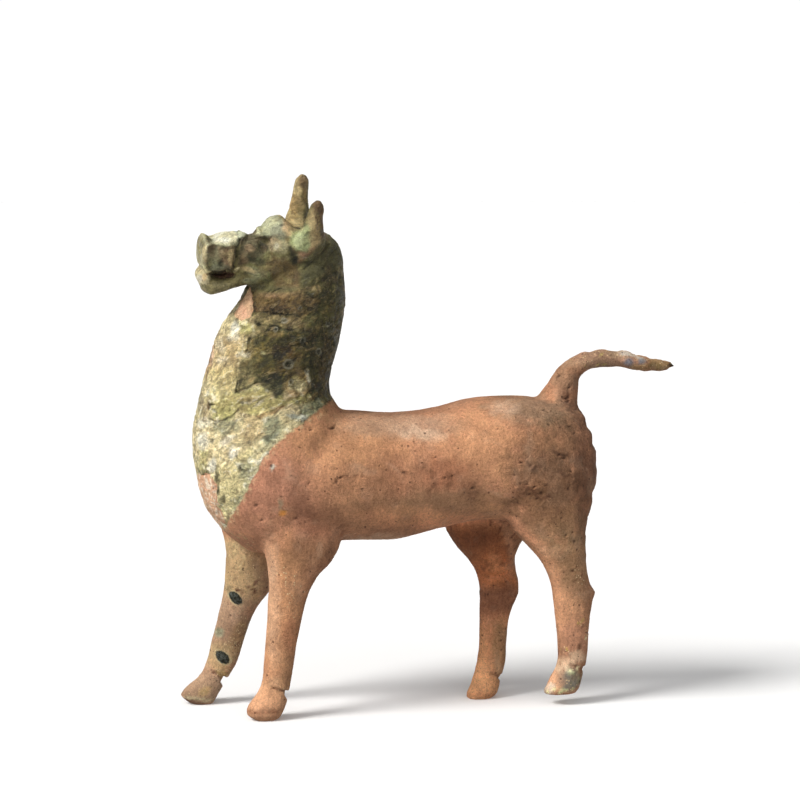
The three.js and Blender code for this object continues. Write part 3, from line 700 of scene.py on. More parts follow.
# The tail: grey, white and ochre towards its end.
TAIL_ROWS = (345, 349)
TAIL_PATCHES = (
    (DUN, 0.35, 566, 372, 14, 22, 20), (UMBER, 0.6, 577, 392, 7, 20), (OCHRE, 0.2, 594, 358, 26, 9, 10),
    (DUN, 0.5, 606, 366, 24, 5, 4), (KHAKI, 0.3, 625, 354, 22, 4, -8), (CHALK, 0.3, 628, 354, 9, 2.4, -14),
    (STEEL, 0.85, 629, 363, 6, 3.6), (STEEL, 0.85, 642, 360.5, 4, 3), (CHALK, 0.3, 641, 358, 4, 1.4, -14),
    (OCHRE, 0.6, 640, 367, 9, 3, -8), (OCHRE, 0.85, 660, 364, 13, 7, -8), (OLIVE, 0.4, 655, 366, 8, 3, -8),
    (INK, 0.9, 672, 366, 3, 3),
)
paint_spots(clay, TAIL_PATCHES, step(*TAIL_ROWS, s.seen[:, 1]) * area["tail"], soft=0.4, seen=True)

paint(clay, EARTH, 0.25 * step(0.15, 0.8, wide + 0.5 * middle))
paint(clay, BUFF, 0.14 * step(0.25, 0.8, middle - 0.4 * wide))
paint(clay, AMBER, 0.8 * s.spot(*AMBER_SPOT, soft=0.4))
paint(clay, LICHEN, 0.5 * s.spot(*GREEN_RUN, soft=0.5))
paint(clay, PEWTER, 0.7 * s.spot(*GREY_SPOT, soft=0.4, stray=0.5))
paint(clay, PIT_BROWN, 0.75 * pit_shade)

# Scars, creases and the hooves' lines: (hue, strength, half width, points). The umber lines in the near
# fetlocks' notches are painted shadow.
CLAY_LINES = (
    (EARTH, 0.6, 1.8, ((335, 480), (343, 477), (352, 478), (360, 474), (367, 476))),
    (EARTH, 0.55, 2.2, ((424, 468), (432, 474), (436, 482), (430, 490))),
    (EARTH, 0.5, 1.8, ((444, 472), (450, 480), (449, 488))),
    (UMBER, 0.6, 2.0, ((553, 450), (560, 456), (569, 455))),
    (UMBER, 0.6, 2.0, ((527, 462), (533, 468), (540, 466))),
    (UMBER, 0.6, 2.2, ((524, 486), (532, 490), (540, 499), (549, 495))),
    (UMBER, 0.5, 2.0, ((560, 470), (566, 477), (571, 476))),
    (UMBER, 0.5, 1.8, ((562, 386), (568, 396), (566, 404))),
    (UMBER, 0.75, 1.6, ((274, 687.5), (281, 690.5), (290, 692))),
    (BRICK, 0.8, 1.6, ((248, 710), (262, 712.5), (279, 711.5))),
    (UMBER, 0.7, 1.8, ((571, 664), (577, 667), (586, 667))),
)
for hue, strength, width, points in CLAY_LINES:
    paint(clay, hue, strength * s.line(points, width, stray=0.6))
# The far fetlocks' notches are painted dark along their creases: painted shadow.
for strength, width, points in SHADED_FAR_CREASES:
    paint(clay, UMBER, strength * s.line(points, width, seen=True, stray=0.6))

# Crumbs of glaze and dirt on the legs: (hue, share, column, row, half width, half height, turn).
CRUMBS = (
    (OCHRE, 0.6, 224, 671, 9, 5, -24), (EARTH, 0.5, 238, 650, 6, 16, -16), (EARTH, 0.35, 242, 575, 22, 26),
    (TAN, 0.35, 236, 560, 16, 24), (EARTH, 0.4, 560, 652, 8, 6), (BUFF, 0.4, 570, 662, 12, 9),
    (EARTH, 0.25, 578, 640, 9, 22), (UMBER, 0.35, 485, 545, 40, 30), (EARTH, 0.3, 245, 585, 18, 10),
    (MUSTARD, 0.6, 565, 650, 4, 5), (MUSTARD, 0.5, 580, 621, 6, 2), (CREAM, 0.5, 585, 637, 3, 4),
    (CREAM, 0.3, 572, 676, 8, 12), (INK, 0.3, 574, 682, 8, 10), (EARTH, 0.25, 576, 575, 6, 8),
    (BUTTER, 0.9, 560, 691, 16, 1.6, 2), (MUSTARD, 0.25, 590, 360, 18, 8), (EARTH, 0.4, 578, 366, 8, 5),
)
crumb = noise(s.co, 2.3, SEED + 70)
for hue, share, *place in CRUMBS:
    paint(clay, hue, s.spot(*place, soft=0.4, seen=True) * step(0.75 - share, 1.0 - share, crumb))

# Drops of dark glaze on the far foreleg: column, row, half width, half height, turn.
DROPS = ((235.8, 598, 8.6, 4.8, -47), (223, 657, 8.6, 5.2, -42))
drop_edge = np.full(len(s.co), -20.0)
for place in DROPS:
    drop_edge = np.maximum(drop_edge, s.depth_in(*place))
drop_edge = np.where((s.right_fore > 0.3) & (s.n @ BACK > 0), drop_edge, -20)

# The glaze, from the broad zones to the small marks.
GLAZE_ZONES = (
    (CREAM, 0.9, 6, ((180, 300), (240, 300), (300, 410), (300, 440), (230, 540), (180, 540))),
    (MOSS, 0.9, 8, ((286, 300), (312, 286), (350, 280), (350, 402), (306, 398), (298, 352))),
    (BRONZE, 0.9, 5, ((253, 289), (300, 291), (318, 300), (311, 314), (285, 312), (262, 310), (254, 302))),
    (ROSE, 0.3, 3, ((256, 290), (300, 291), (300, 297), (270, 298))),
    (BROWN, 0.6, 3, ((256, 304), (285, 302), (300, 309), (280, 312), (258, 310))),
    (TAN, 0.5, 3, ((246, 318), (262, 314), (300, 318), (304, 330), (262, 324), (250, 326))),
    (OLIVE, 0.6, 3, ((255, 318), (306, 318), (308, 340), (262, 334))),
    (LIME, 0.8, 3, ((238, 324), (250, 322), (252, 332), (246, 337), (238, 335))),
    (OLIVE, 0.9, 4.5, (
        (249, 337), (262, 331), (300, 336), (304, 352), (302, 372), (284, 398), (272, 398), (266, 390),
        (258, 384), (248, 389), (239, 390), (238, 366), (244, 358), (249, 349),
    )),
    (OLIVE, 0.5, 2, ((239, 366), (246, 362), (250, 386), (240, 389))),
    (TAN, 0.45, 2, ((248, 345), (256, 348), (262, 356), (250, 360), (245, 356))),
    (MOSS, 0.7, 3, ((252, 358), (268, 356), (274, 370), (270, 388), (258, 380))),
    (MAROON, 0.75, 3, ((274, 345), (290, 344), (293, 353), (282, 357), (274, 354))),
    (BROWN, 0.7, 3, ((276, 355), (300, 354), (298, 362), (280, 362))),
    (BROWN, 0.6, 3, ((272, 368), (286, 366), (284, 374), (272, 375))),
    (KHAKI, 0.7, 3, ((286, 372), (296, 367), (309, 372), (309, 394), (292, 398), (284, 392))),
    (SAGE, 0.5, 2, ((288, 380), (304, 378), (306, 388), (290, 391))),
    (BOTTLE, 0.9, 2, ((273, 375), (283, 373), (284, 390), (279, 398), (272, 392))),
    (BOTTLE, 0.6, 3, ((306, 380), (322, 378), (328, 396), (312, 402), (306, 396))),
    (LIME, 0.85, 3, (
        (216, 396), (238, 392), (262, 387), (272, 396), (285, 399), (308, 395), (312, 402), (283, 407),
        (262, 417), (238, 411), (226, 420), (214, 416), (207, 404),
    )),
    (BUTTER, 0.6, 3, ((212, 370), (238, 366), (236, 398), (206, 400))),
    (TAN, 0.6, 3, ((222, 336), (247, 334), (244, 357), (234, 362), (224, 350))),
    (ROSE, 0.6, 2, ((204, 348), (213, 340), (216, 352), (210, 368), (203, 376))),
    (SAGE, 0.7, 2, ((300, 405), (322, 400), (326, 408), (304, 418))),
    (CREAM, 0.8, 2, ((276, 414), (300, 405), (304, 414), (286, 424), (272, 424))),
    (PEWTER, 0.85, 1.5, ((287, 415), (306, 412), (306, 418), (288, 420))),
    (LICHEN, 0.85, 3, ((262, 420), (278, 417), (284, 430), (270, 446), (260, 438))),
    (TAN, 0.6, 3, ((244, 418), (262, 416), (262, 440), (246, 444))),
    (LICHEN, 0.7, 3, ((216, 421), (234, 418), (236, 430), (222, 438), (214, 430))),
    (LIME, 0.6, 2, ((199, 452), (210, 453), (211, 474), (199, 474))),
    (OLIVE, 0.8, 1.2, ((199, 471), (211, 471), (210, 476), (200, 477))),
    (BUTTER, 0.5, 3, ((216, 470), (250, 448), (256, 462), (232, 512), (218, 520))),
    (LICHEN, 0.7, 3, ((236, 462), (254, 458), (250, 480), (240, 482))),
)
# Small marks of the glaze: (hue, strength, column, row, half width, half height, turn). The chalk-white spots
# on the throat and the cream chest are partly the glaze's pale colour and partly painted highlight; the
# brightest, at (234, 328) and (234, 452), are painted highlights.
GLAZE_MARKS = (
    (CHALK, 0.95, 234, 328, 3.5, 8, -20), (CHALK, 0.5, 233, 338, 6, 3), (CHALK, 0.6, 222, 360, 6, 3, 30),
    (CHALK, 0.4, 220, 345, 4, 8), (CHALK, 0.7, 205, 423, 8, 5), (CHALK, 0.8, 204, 441, 6, 8),
    (CHALK, 0.95, 234, 452, 4, 6, -10), (CHALK, 0.85, 213, 467, 3.5, 7, -8),
    (CHALK, 0.6, 228, 441, 8, 4, 30), (CHALK, 0.95, 264, 354.5, 1.9, 1.9),
    (MOSS, 0.35, 213, 332, 6, 10, -20), (MOSS, 0.4, 200, 400, 3, 26, 4), (BROWN, 0.5, 204, 412, 3, 14, 10),
    (TAN, 0.4, 245, 398, 12, 4), (TAN, 0.5, 270, 412, 14, 3, 24), (BROWN, 0.4, 206, 372, 2.4, 10),
    (MOSS, 0.4, 304, 300, 10, 6), (OLIVE, 0.4, 312, 320, 16, 14), (LIME, 0.4, 308, 322, 6, 5),
    (OLIVE, 0.45, 332, 300, 6, 30), (OLIVE, 0.45, 320, 360, 8, 20), (BROWN, 0.4, 322, 368, 5, 12),
    (INK, 0.5, 296, 345, 10, 7), (INK, 0.4, 318, 342, 14, 16), (CHALK, 0.5, 308, 378, 2, 6, 10),
    (SAGE, 0.4, 294, 377, 4, 3), (MOSS, 0.7, 218, 482, 1.8, 14), (MOSS, 0.6, 222, 503, 2.2, 11, -16),
    (LICHEN, 0.45, 250, 478, 3, 30, -32), (TAN, 0.6, 222, 522, 12, 8), (SAGE, 0.4, 272, 440, 4, 20, -52),
    (MOSS, 0.6, 241, 470, 3, 1.6, 30), (OLIVE, 0.35, 236, 500, 6, 12),
)
# The head's zones. The loden eye socket and the ink hollow behind the cheek are painted shade. The near ear's
# green and tan are the glaze's own, but its pale celadon left side is painted highlight and its brown back
# edge is painted shade.
HEAD_ZONES = (
    (PALE_GREEN, 0.95, 1.5, (
        (207, 243), (213, 239), (222, 231), (240, 228), (259, 228), (262, 235), (247, 234), (240, 238),
        (237, 246), (212, 245),
    )),
    (CREAM, 0.6, 2, ((214, 236), (238, 229), (236, 243), (214, 243))),
    (PALE_GREEN, 0.85, 2, ((194, 232), (205, 232), (208, 246), (205, 262), (206, 272), (194, 268))),
    (OLIVE, 0.45, 2, ((196, 240), (201, 236), (204, 248), (198, 262))),
    (STONE, 0.9, 1.3, ((208, 246), (236, 247), (234, 268), (230, 271), (208, 271), (204, 262))),
    (DUN, 0.6, 2, ((218, 248), (234, 248), (233, 266), (222, 262))),
    (LICHEN, 0.5, 2, ((206, 258), (216, 260), (224, 268), (210, 271))),
    (LODEN, 0.95, 2.2, (
        (240, 239), (247, 234), (262, 235), (272, 238), (269, 250), (262, 256), (262, 265), (248, 263),
        (238, 266),
    )),
    (CREAM, 0.6, 3, ((270, 238), (284, 238), (290, 246), (284, 252), (268, 250))),
    (ROSE, 0.2, 2, ((268, 237), (282, 240), (280, 252), (270, 250))),
    (OLIVE, 0.35, 3, ((262, 250), (286, 250), (282, 260), (262, 262))),
    (OLIVE, 0.85, 2.5, (
        (236, 268), (250, 265), (262, 267), (276, 274), (296, 288), (262, 289), (246, 286), (238, 277),
    )),
    (BROWN, 0.7, 3, ((262, 262), (286, 258), (298, 268), (302, 290), (276, 290), (270, 274))),
    (SAGE, 0.9, 2, ((259, 229), (265, 220), (273, 214), (284, 219), (288, 230), (284, 240), (264, 236))),
    (CELADON, 0.5, 2, ((264, 226), (272, 218), (280, 222), (276, 234), (266, 234))),
    (LICHEN, 0.7, 2, ((272, 224), (284, 224), (292, 236), (284, 240), (270, 236))),
    (TAN, 0.8, 2, ((283, 218), (300, 222), (306, 229), (292, 236), (286, 236), (282, 228))),
    (MINT, 0.85, 2.5, (
        (291, 231), (300, 229), (308, 222), (313, 216), (315, 230), (312, 243), (306, 252), (296, 251),
        (290, 244),
    )),
    (CELADON, 0.6, 2.5, ((292, 234), (302, 232), (304, 244), (296, 248))),
    (TAN, 0.8, 2.5, (
        (306, 224), (312, 209), (317, 211), (320, 226), (321, 242), (312, 254), (309, 242), (309, 230),
    )),
    (BROWN, 0.9, 1.5, (
        (312, 206), (315, 199), (323, 201), (326, 216), (326, 236), (321, 242), (320, 224), (317, 212),
    )),
    (INK, 0.8, 1.5, ((288, 246), (293, 247), (297, 256), (300, 262), (295, 265), (290, 262))),
    (DUN, 0.7, 1.5, ((298, 251), (309, 252), (312, 247), (316, 248), (308, 259), (299, 262))),
    (MOSS, 0.8, 3, ((300, 264), (314, 250), (324, 236), (342, 238), (350, 300), (306, 300), (300, 284))),
    (OLIVE, 0.6, 3, ((194, 282), (240, 281), (250, 288), (210, 297), (194, 292))),
    (CREAM, 0.9, 2, ((193, 270), (204, 268), (210, 275), (208, 282), (196, 284))),
    (AMBER, 0.3, 1, ((196, 276), (206, 274), (206, 280), (198, 281))),
    (MAROON, 0.95, 1.2, ((208, 273.5), (236, 272.5), (231, 277.5), (222, 279), (213, 278))),
    (MOSS, 0.6, 2, ((250, 284), (276, 286), (302, 287), (300, 292), (252, 290))),
)
# The head's small marks. The ink and moss marks in the nostril, the eye socket and the hollow behind the
# cheek are painted shade in those hollows; the chalk spot on the cheek at (276, 246) is a painted highlight.
HEAD_MARKS = (
    (INK, 0.65, 212, 249, 5, 4.5), (INK, 0.8, 221, 263, 2.8, 3.2), (OLIVE, 0.6, 208, 263, 4, 6),
    (TAN, 0.5, 231.5, 258, 2.8, 9), (BROWN, 0.3, 226, 254, 3, 5), (OLIVE, 0.5, 202, 243, 3, 4),
    (LIME, 0.5, 199, 250, 2.4, 4), (CREAM, 0.6, 205, 253, 2, 8), (DUN, 0.6, 250, 248, 5, 4.5),
    (INK, 0.8, 263, 245, 4, 5.5), (INK, 0.75, 254, 259.5, 6.5, 2.8), (MOSS, 0.7, 261, 262, 5, 4),
    (DUN, 0.5, 244, 258, 4, 6), (CHALK, 0.3, 276, 246, 3, 3), (CHALK, 0.5, 222, 240, 8, 3),
    (OLIVE, 0.4, 250, 231, 10, 2), (CHALK, 0.6, 199, 278, 3.5, 3.5), (TAN, 0.4, 231, 253, 3, 8),
    (SAGE, 0.5, 250, 281, 8, 3), (INK, 0.9, 296, 259, 2.6, 3.6), (INK, 0.8, 281, 224.5, 3, 1),
    (OLIVE, 0.5, 266, 241, 4, 2), (INK, 0.7, 269, 271, 1.8, 1.2), (ROSE, 0.3, 304, 254, 5, 2, 10),
    (SAGE, 0.45, 258, 274, 12, 5, -25), (TAN, 0.5, 248, 270, 9, 2.4, -16), (BRICK, 0.16, 250, 249, 6, 5),
)
# Dark and light lines: (hue, strength, half width, points). The ink along the muzzle's groove, under the
# nostril's upper ledge and in the brow crease, and the moss line under the brow, are painted shadow.
LINES = (
    (MAROON, 0.85, 2.4, ((252.5, 291), (254, 304), (257.5, 310))),
    (BROWN, 0.8, 1.6, ((214, 346), (208, 360), (209, 370), (207, 380))),
    (BROWN, 0.7, 1.8, ((202, 394), (206, 401), (208, 410))),
    (OCHRE, 0.8, 2.4, ((246, 416), (259, 417), (276, 411), (284, 406))),
    (INK, 0.7, 2.2, ((311, 399), (320, 396), (326, 390))), (BROWN, 0.7, 1.2, ((198, 449), (207, 449.5))),
    (MOSS, 0.6, 1.6, ((216, 466), (217, 480), (219, 494))),
    (SAGE, 0.5, 3.0, ((283, 437), (266, 454), (256, 472), (246, 490), (232, 512))),
    (INK, 0.8, 2.0, SHADED_MUZZLE_GROOVE), (MOSS, 0.8, 2.4, ((240, 238.5), (247, 235.5), (258, 235.5), (269, 238))),
    (CREAM, 0.9, 1.5, ((207, 271.7), (220, 272.5), (232, 271.5), (238, 268))),
    (INK, 0.8, 1.3, ((207, 262), (209, 268), (213, 272))),
    (INK, 0.7, 1.4, ((208.5, 246.5), (220, 246.5), (234, 248))), (TAN, 0.2, 1.6, CHEEK_RIDGE),
    (INK, 0.85, 1.8, SHADED_BROW_CREASE), (MAROON, 0.7, 1.5, ((313, 206), (315.5, 216), (318, 225))),
    (TAN, 0.5, 1.6, ((265, 305), (280, 303), (296, 307))),
)
paint_zones(glaze, GLAZE_ZONES, off_head, 1.5)
paint_spots(glaze, GLAZE_MARKS, off_head, soft=0.45, stray=1.2)
paint_zones(glaze, HEAD_ZONES, s.head, 0.7)
paint_spots(glaze, HEAD_MARKS, s.head, soft=0.45, stray=0.7)
broken = 0.4 + 0.6 * step(-0.35, 0.25, noise(s.co, 5, SEED + 92))
for hue, strength, width, points in PAINTED_CRACKS + LINES:
    paint(glaze, hue, strength * broken * s.line(points, 0.85 * width, stray=0.9))

# The far ear stands clear of the near one, so it is painted straight through.
FAR_EAR_ROWS, FAR_EAR_COLUMNS, FAR_EAR_ACROSS = (229, 225), (277, 281), (1, 4)
far_ear = step(*FAR_EAR_ROWS, s.seen[:, 1]) * step(*FAR_EAR_COLUMNS, s.seen[:, 0])
far_ear *= step(*FAR_EAR_ACROSS, s.across) * s.head
paint(glaze, OCHRE, 0.9 * far_ear)
# The far ear's pale tan left edge is painted highlight and its moss right edge is painted shade.
FAR_EAR_PATCHES = (
    (BROWN, 0.85, 301, 179, 7, 9), (TAN, 0.6, 297, 188, 3, 12, 6), (MOSS, 0.75, 307, 206, 3, 26, -6),
    (OLIVE, 0.45, 302, 210, 6, 18), (TAN, 0.6, 298, 222, 8, 4, 20),
)
paint_spots(glaze, FAR_EAR_PATCHES, far_ear, soft=0.5, seen=True)

# Mottling where the glaze has pooled, crazed or worn.
drawn = flowing(s.co, 0.45) + 3 * MM * noise(s.co, 10, SEED + 80)[:, None]
swirl = layered(drawn, 4.5, SEED + 81, 3, 0.65)
dim = 1 - step(0.12, 0.4, glaze.mean(1))
paint(glaze, INK, step(0.05, 0.42, swirl) * (0.16 + 0.62 * dim) * (1 - 0.5 * s.head))
paint(glaze, BUTTER, 0.22 * step(0.12, 0.6, -swirl) * (1 - 0.4 * dim))
paint(glaze, OCHRE, 0.42 * step(0.16, 0.45, -swirl) * dim * off_head)
flakes = layered(drawn, 5, SEED + 89, 3, 0.7)
paint(glaze, CHALK, 0.6 * step(0.2, 0.5, flakes) * (1 - dim) * off_head)
paint(glaze, BRONZE, 0.35 * step(0.22, 0.55, -flakes) * (1 - dim) * off_head)
paint(glaze, BROWN, 0.35 * step(0.2, 0.6, layered(s.co, 7, SEED + 84, 2)))
paint(glaze, INK, step(0.14, 0.0, np.abs(creases)) * (0.2 + 0.45 * dim) * off_head)
fibres = layered(drawn, 4, SEED + 87, 2)
paint(glaze, TAN, 0.4 * step(0.07, 0.0, np.abs(fibres)) * step(-0.1, 0.3, middle) * off_head)

# Washes: each multiplies the colour below it by (r, g, b) round a place, making regions lighter or darker.
# They are partly the clay's and glaze's own tone and partly painted light and shade, such as the darker rump
# and haunch.
WASHES = (
    ((0.79, 0.83, 0.87), 400, 427, 58, 12), ((1.5, 1.38, 1.34), 420, 518, 60, 10, -4),
    ((1.11, 1.22, 1.36), 532, 410, 34, 12), ((0.7, 0.69, 0.69), 545, 450, 36, 26),
    ((0.92, 0.83, 0.79), 546, 498, 32, 26), ((0.88, 0.86, 0.82), 303, 556, 24, 20),
    ((1.1, 1.22, 1.22), 264, 700, 30, 22), ((1.12, 1.18, 1.16), 562, 600, 34, 70),
    ((1.18, 1.16, 1.14), 556, 540, 34, 30), ((1.06, 1.17, 1.24), 564, 384, 12, 16),
    ((1.22, 1.45, 1.75), 602, 358, 34, 12), ((0.88, 0.81, 0.76), 224, 366, 16, 30, 10),
    ((0.48, 0.46, 0.26), 278, 356, 30, 28), ((0.6, 0.62, 0.5), 326, 345, 20, 66),
    ((1.4, 1.38, 1.34), 300, 386, 12, 12), ((0.44, 0.41, 0.32), 282, 302, 28, 14),
    ((0.8, 0.75, 0.75), 262, 403, 46, 10), ((1.06, 1.04, 1.04), 228, 456, 26, 40, 20),
)
# The head's washes, likewise partly its own tone and partly painted light and shade.
HEAD_WASHES = (
    ((0.85, 0.79, 0.76), 201, 253, 6, 16), ((1.1, 1.15, 1.15), 220, 258, 13, 12),
    ((1.35, 1.65, 1.7), 252, 252, 12, 12), ((0.72, 0.77, 0.78), 279, 247, 10, 8),
    ((0.68, 0.72, 0.58), 278, 274, 18, 12), ((1.22, 1.14, 1.26), 274, 226, 12, 10),
    ((0.85, 0.87, 0.9), 200, 277, 8, 7), ((2.5, 2.5, 3.1), 214, 288, 14, 6),
    ((1.16, 1.22, 1.36), 232, 237, 20, 6),
)


def wash(target, factors, weight):
    target *= 1 + weight[:, None] * (np.array(factors) - 1)


for factors, *place in WASHES:
    weight = s.spot(*place, soft=0.5, stray=1.4)
    wash(glaze, factors, weight * off_head)
    wash(clay, factors, weight * body_side)
for factors, *place in HEAD_WASHES:
    wash(glaze, factors, s.spot(*place, soft=0.5) * s.head)
paint(glaze, RIM_GREY, 0.6 * crater_rim * (1 - crater_floor))
paint(glaze, LEAD, 0.7 * crater_floor)
wash(glaze, (1.15, 1.26, 1.32), far_ear)
# The far legs are washed lighter: painted light against the shade that the body and the near legs cast on
# them.
wash(clay, (1.5, 1.56, 1.66), s.right_fore)
# The far hind leg's washes: factors, and the heights in millimetres between which each comes in.
for factors, heights in (
    ((1.36, 1.34, 1.24), (64, 52)), ((1.25, 1.28, 1.3), (28, 18)), ((1.75, 1.45, 1.1), (72, 84)),
):
    wash(clay, factors, s.right_hind * step(*heights, s.z))
wash(clay, (1.26, 1.42, 1.5), s.spot(*NEAR_HIND_HOOF, seen=True) * near_side)

# How far inside the glaze each point is, in pixels; negative on bare clay.
bare = np.maximum(s.patch(THROAT_RIDGE, 2.5, stray=0.5), s.patch(BARE_CHEST, 2, stray=1.2))
edge = np.where(bare > 0.02, np.minimum(edge, 6 - 14 * bare), edge)
edge = np.where(s.z < GLAZE_END, -20, edge) + 0.8 * fine
paint(clay, RIDGE_TAN, 0.75 * s.patch(THROAT_RIDGE, 3))
paint(clay, ROSE, 0.45 * s.spot(*THROAT_BLUSH, soft=0.6))
paint(clay, BUFF, 0.6 * s.patch(BARE_CHEST, 6, stray=1.2))
speckle = noise(s.co, 2.0, SEED + 90)
paint(clay, CHALK, 0.5 * s.patch(BARE_CHEST, 3) * step(0.1, 0.5, speckle))
paint(clay, CREAM, 0.35 * step(-9, -1, edge) * step(0.1, 0.5, speckle))

roughened = np.clip(0.8 * rump + rear + area["tail"] + 0.7 * legs + 0.2 * area["leg"], 0, 1)


def store_colour(name, values):
    rgba = np.ones((len(values), 4), np.float32)
    rgba[:, :3] = np.clip(values, 0, 1)
    mesh.attributes.new(name, "FLOAT_COLOR", "POINT").data.foreach_set("color", rgba.ravel())


def store_number(name, values):
    layer = mesh.attributes.new(name, "FLOAT", "POINT")
    layer.data.foreach_set("value", values.astype(np.float32))


store_colour("clay_paint", clay)
store_colour("glaze_paint", glaze)
store_number("glaze_edge", edge)
store_number("roughened", roughened)
# Where small pale crumbs stick to the clay: share, column, row, half width, half height, turn.
FLECKED = (
    (0.55, 236, 640, 7, 16, -16), (0.6, 242, 619, 3.5, 7), (0.6, 232, 645, 8, 6),
    (0.85, 224, 671, 10, 5, -20), (0.5, 206, 689, 9, 6, 30), (0.7, 197, 697, 16, 2.4, -6),
    (0.18, 240, 570, 18, 24), (0.3, 215, 680, 8, 4), (0.2, 580, 577, 7, 6), (0.6, 582, 621, 7, 3),
    (0.5, 586, 637, 4, 6), (0.5, 566, 651, 7, 4), (0.16, 574, 680, 9, 12), (0.6, 560, 691, 18, 2, 2),
    (0.14, 290, 590, 14, 20), (0.5, 283, 690, 6, 3), (0.4, 208, 505, 9, 30), (0.35, 655, 366, 20, 8, -8),
    (0.35, 630, 355, 18, 4, -8), (0.2, 590, 356, 22, 7, 10),
)
crumbs = np.zeros(len(s.co))
for share, *place in FLECKED:
    crumbs = np.maximum(crumbs, share * s.spot(*place, soft=0.6, seen=True))
store_number("crumbs", crumbs)
store_number("pale_glaze", (1 - dim) * off_head)
store_number("streaked", 1 - 0.65 * s.head)
store_number("drop_edge", drop_edge)


# Materials.
BUMP_HEIGHT = 0.9 * MM


def material(name):
    made = bpy.data.materials.new(name)
    made.use_nodes = True
    tree = made.node_tree
    return made, tree, tree.nodes["Principled BSDF"]


class Nodes:
    """Short names for the shader's node making."""

    def __init__(self, tree):
        self.tree = tree
        self.place = self.add("ShaderNodeTexCoord", {}).outputs["Object"]

    def add(self, kind, inputs, **settings):
        """A new node, with a value or a socket for each of its inputs, by name or number."""
        node = self.tree.nodes.new(kind)
        for key, value in settings.items():
            setattr(node, key, value)
        for key, value in inputs.items():
            self.wire(value, node.inputs[key])
        return node

    def wire(self, value, socket):
        if isinstance(value, bpy.types.NodeSocket):
            self.tree.links.new(value, socket)
        else:
            socket.default_value = value

    def attribute(self, name, output="Fac"):
        return self.add("ShaderNodeAttribute", {}, attribute_name=name).outputs[output]

    def noise(self, scale, detail=3, rough=0.5, twist=0.0, stretch=None, turn=0.0):
        place = self.place
        if turn:
            turned = {"Vector": place, "Angle": turn}
            place = self.add("ShaderNodeVectorRotate", turned, rotation_type="Y_AXIS").outputs[0]
        if stretch:
            place = self.add("ShaderNodeVectorMath", {0: place, 1: stretch}, operation="MULTIPLY").outputs[0]
        inputs = {"Vector": place, "Scale": scale, "Detail": detail, "Roughness": rough, "Distortion": twist}
        return self.add("ShaderNodeTexNoise", inputs).outputs["Fac"]

    def cells(self, scale):
        """Distance to the nearest of scattered points, and a random number for each."""
        node = self.add("ShaderNodeTexVoronoi", {"Vector": self.place, "Scale": scale})
        own = self.add("ShaderNodeSeparateColor", {0: node.outputs["Color"]})
        return node.outputs["Distance"], own.outputs[0]

    def math(self, operation, a, b):
        return self.add("ShaderNodeMath", {0: a, 1: b}, operation=operation).outputs[0]

    def plus(self, a, b):
        return self.math("ADD", a, b)

    def minus(self, a, b):
        return self.math("SUBTRACT", a, b)

    def times(self, a, b):
        return self.math("MULTIPLY", a, b)

    def over(self, a, b):
        return self.math("GREATER_THAN", a, b)

    def span(self, value, low, high, to_low=0.0, to_high=1.0):
        inputs = {"Value": value, "From Min": low, "From Max": high, "To Min": to_low, "To Max": to_high}
        return self.add("ShaderNodeMapRange", inputs, interpolation_type="SMOOTHSTEP").outputs[0]

    def mix(self, a, b, amount):
        return self.add("ShaderNodeMix", {0: amount, 6: a, 7: b}, data_type="RGBA").outputs[2]

    def shaded(self, hue, amount):
        """Makes a colour lighter or darker by a factor."""
        return self.add("ShaderNodeVectorMath", {0: hue, "Scale": amount}, operation="SCALE").outputs[0]


def rgba(hue):
    return (*[float(v) for v in hue], 1.0)


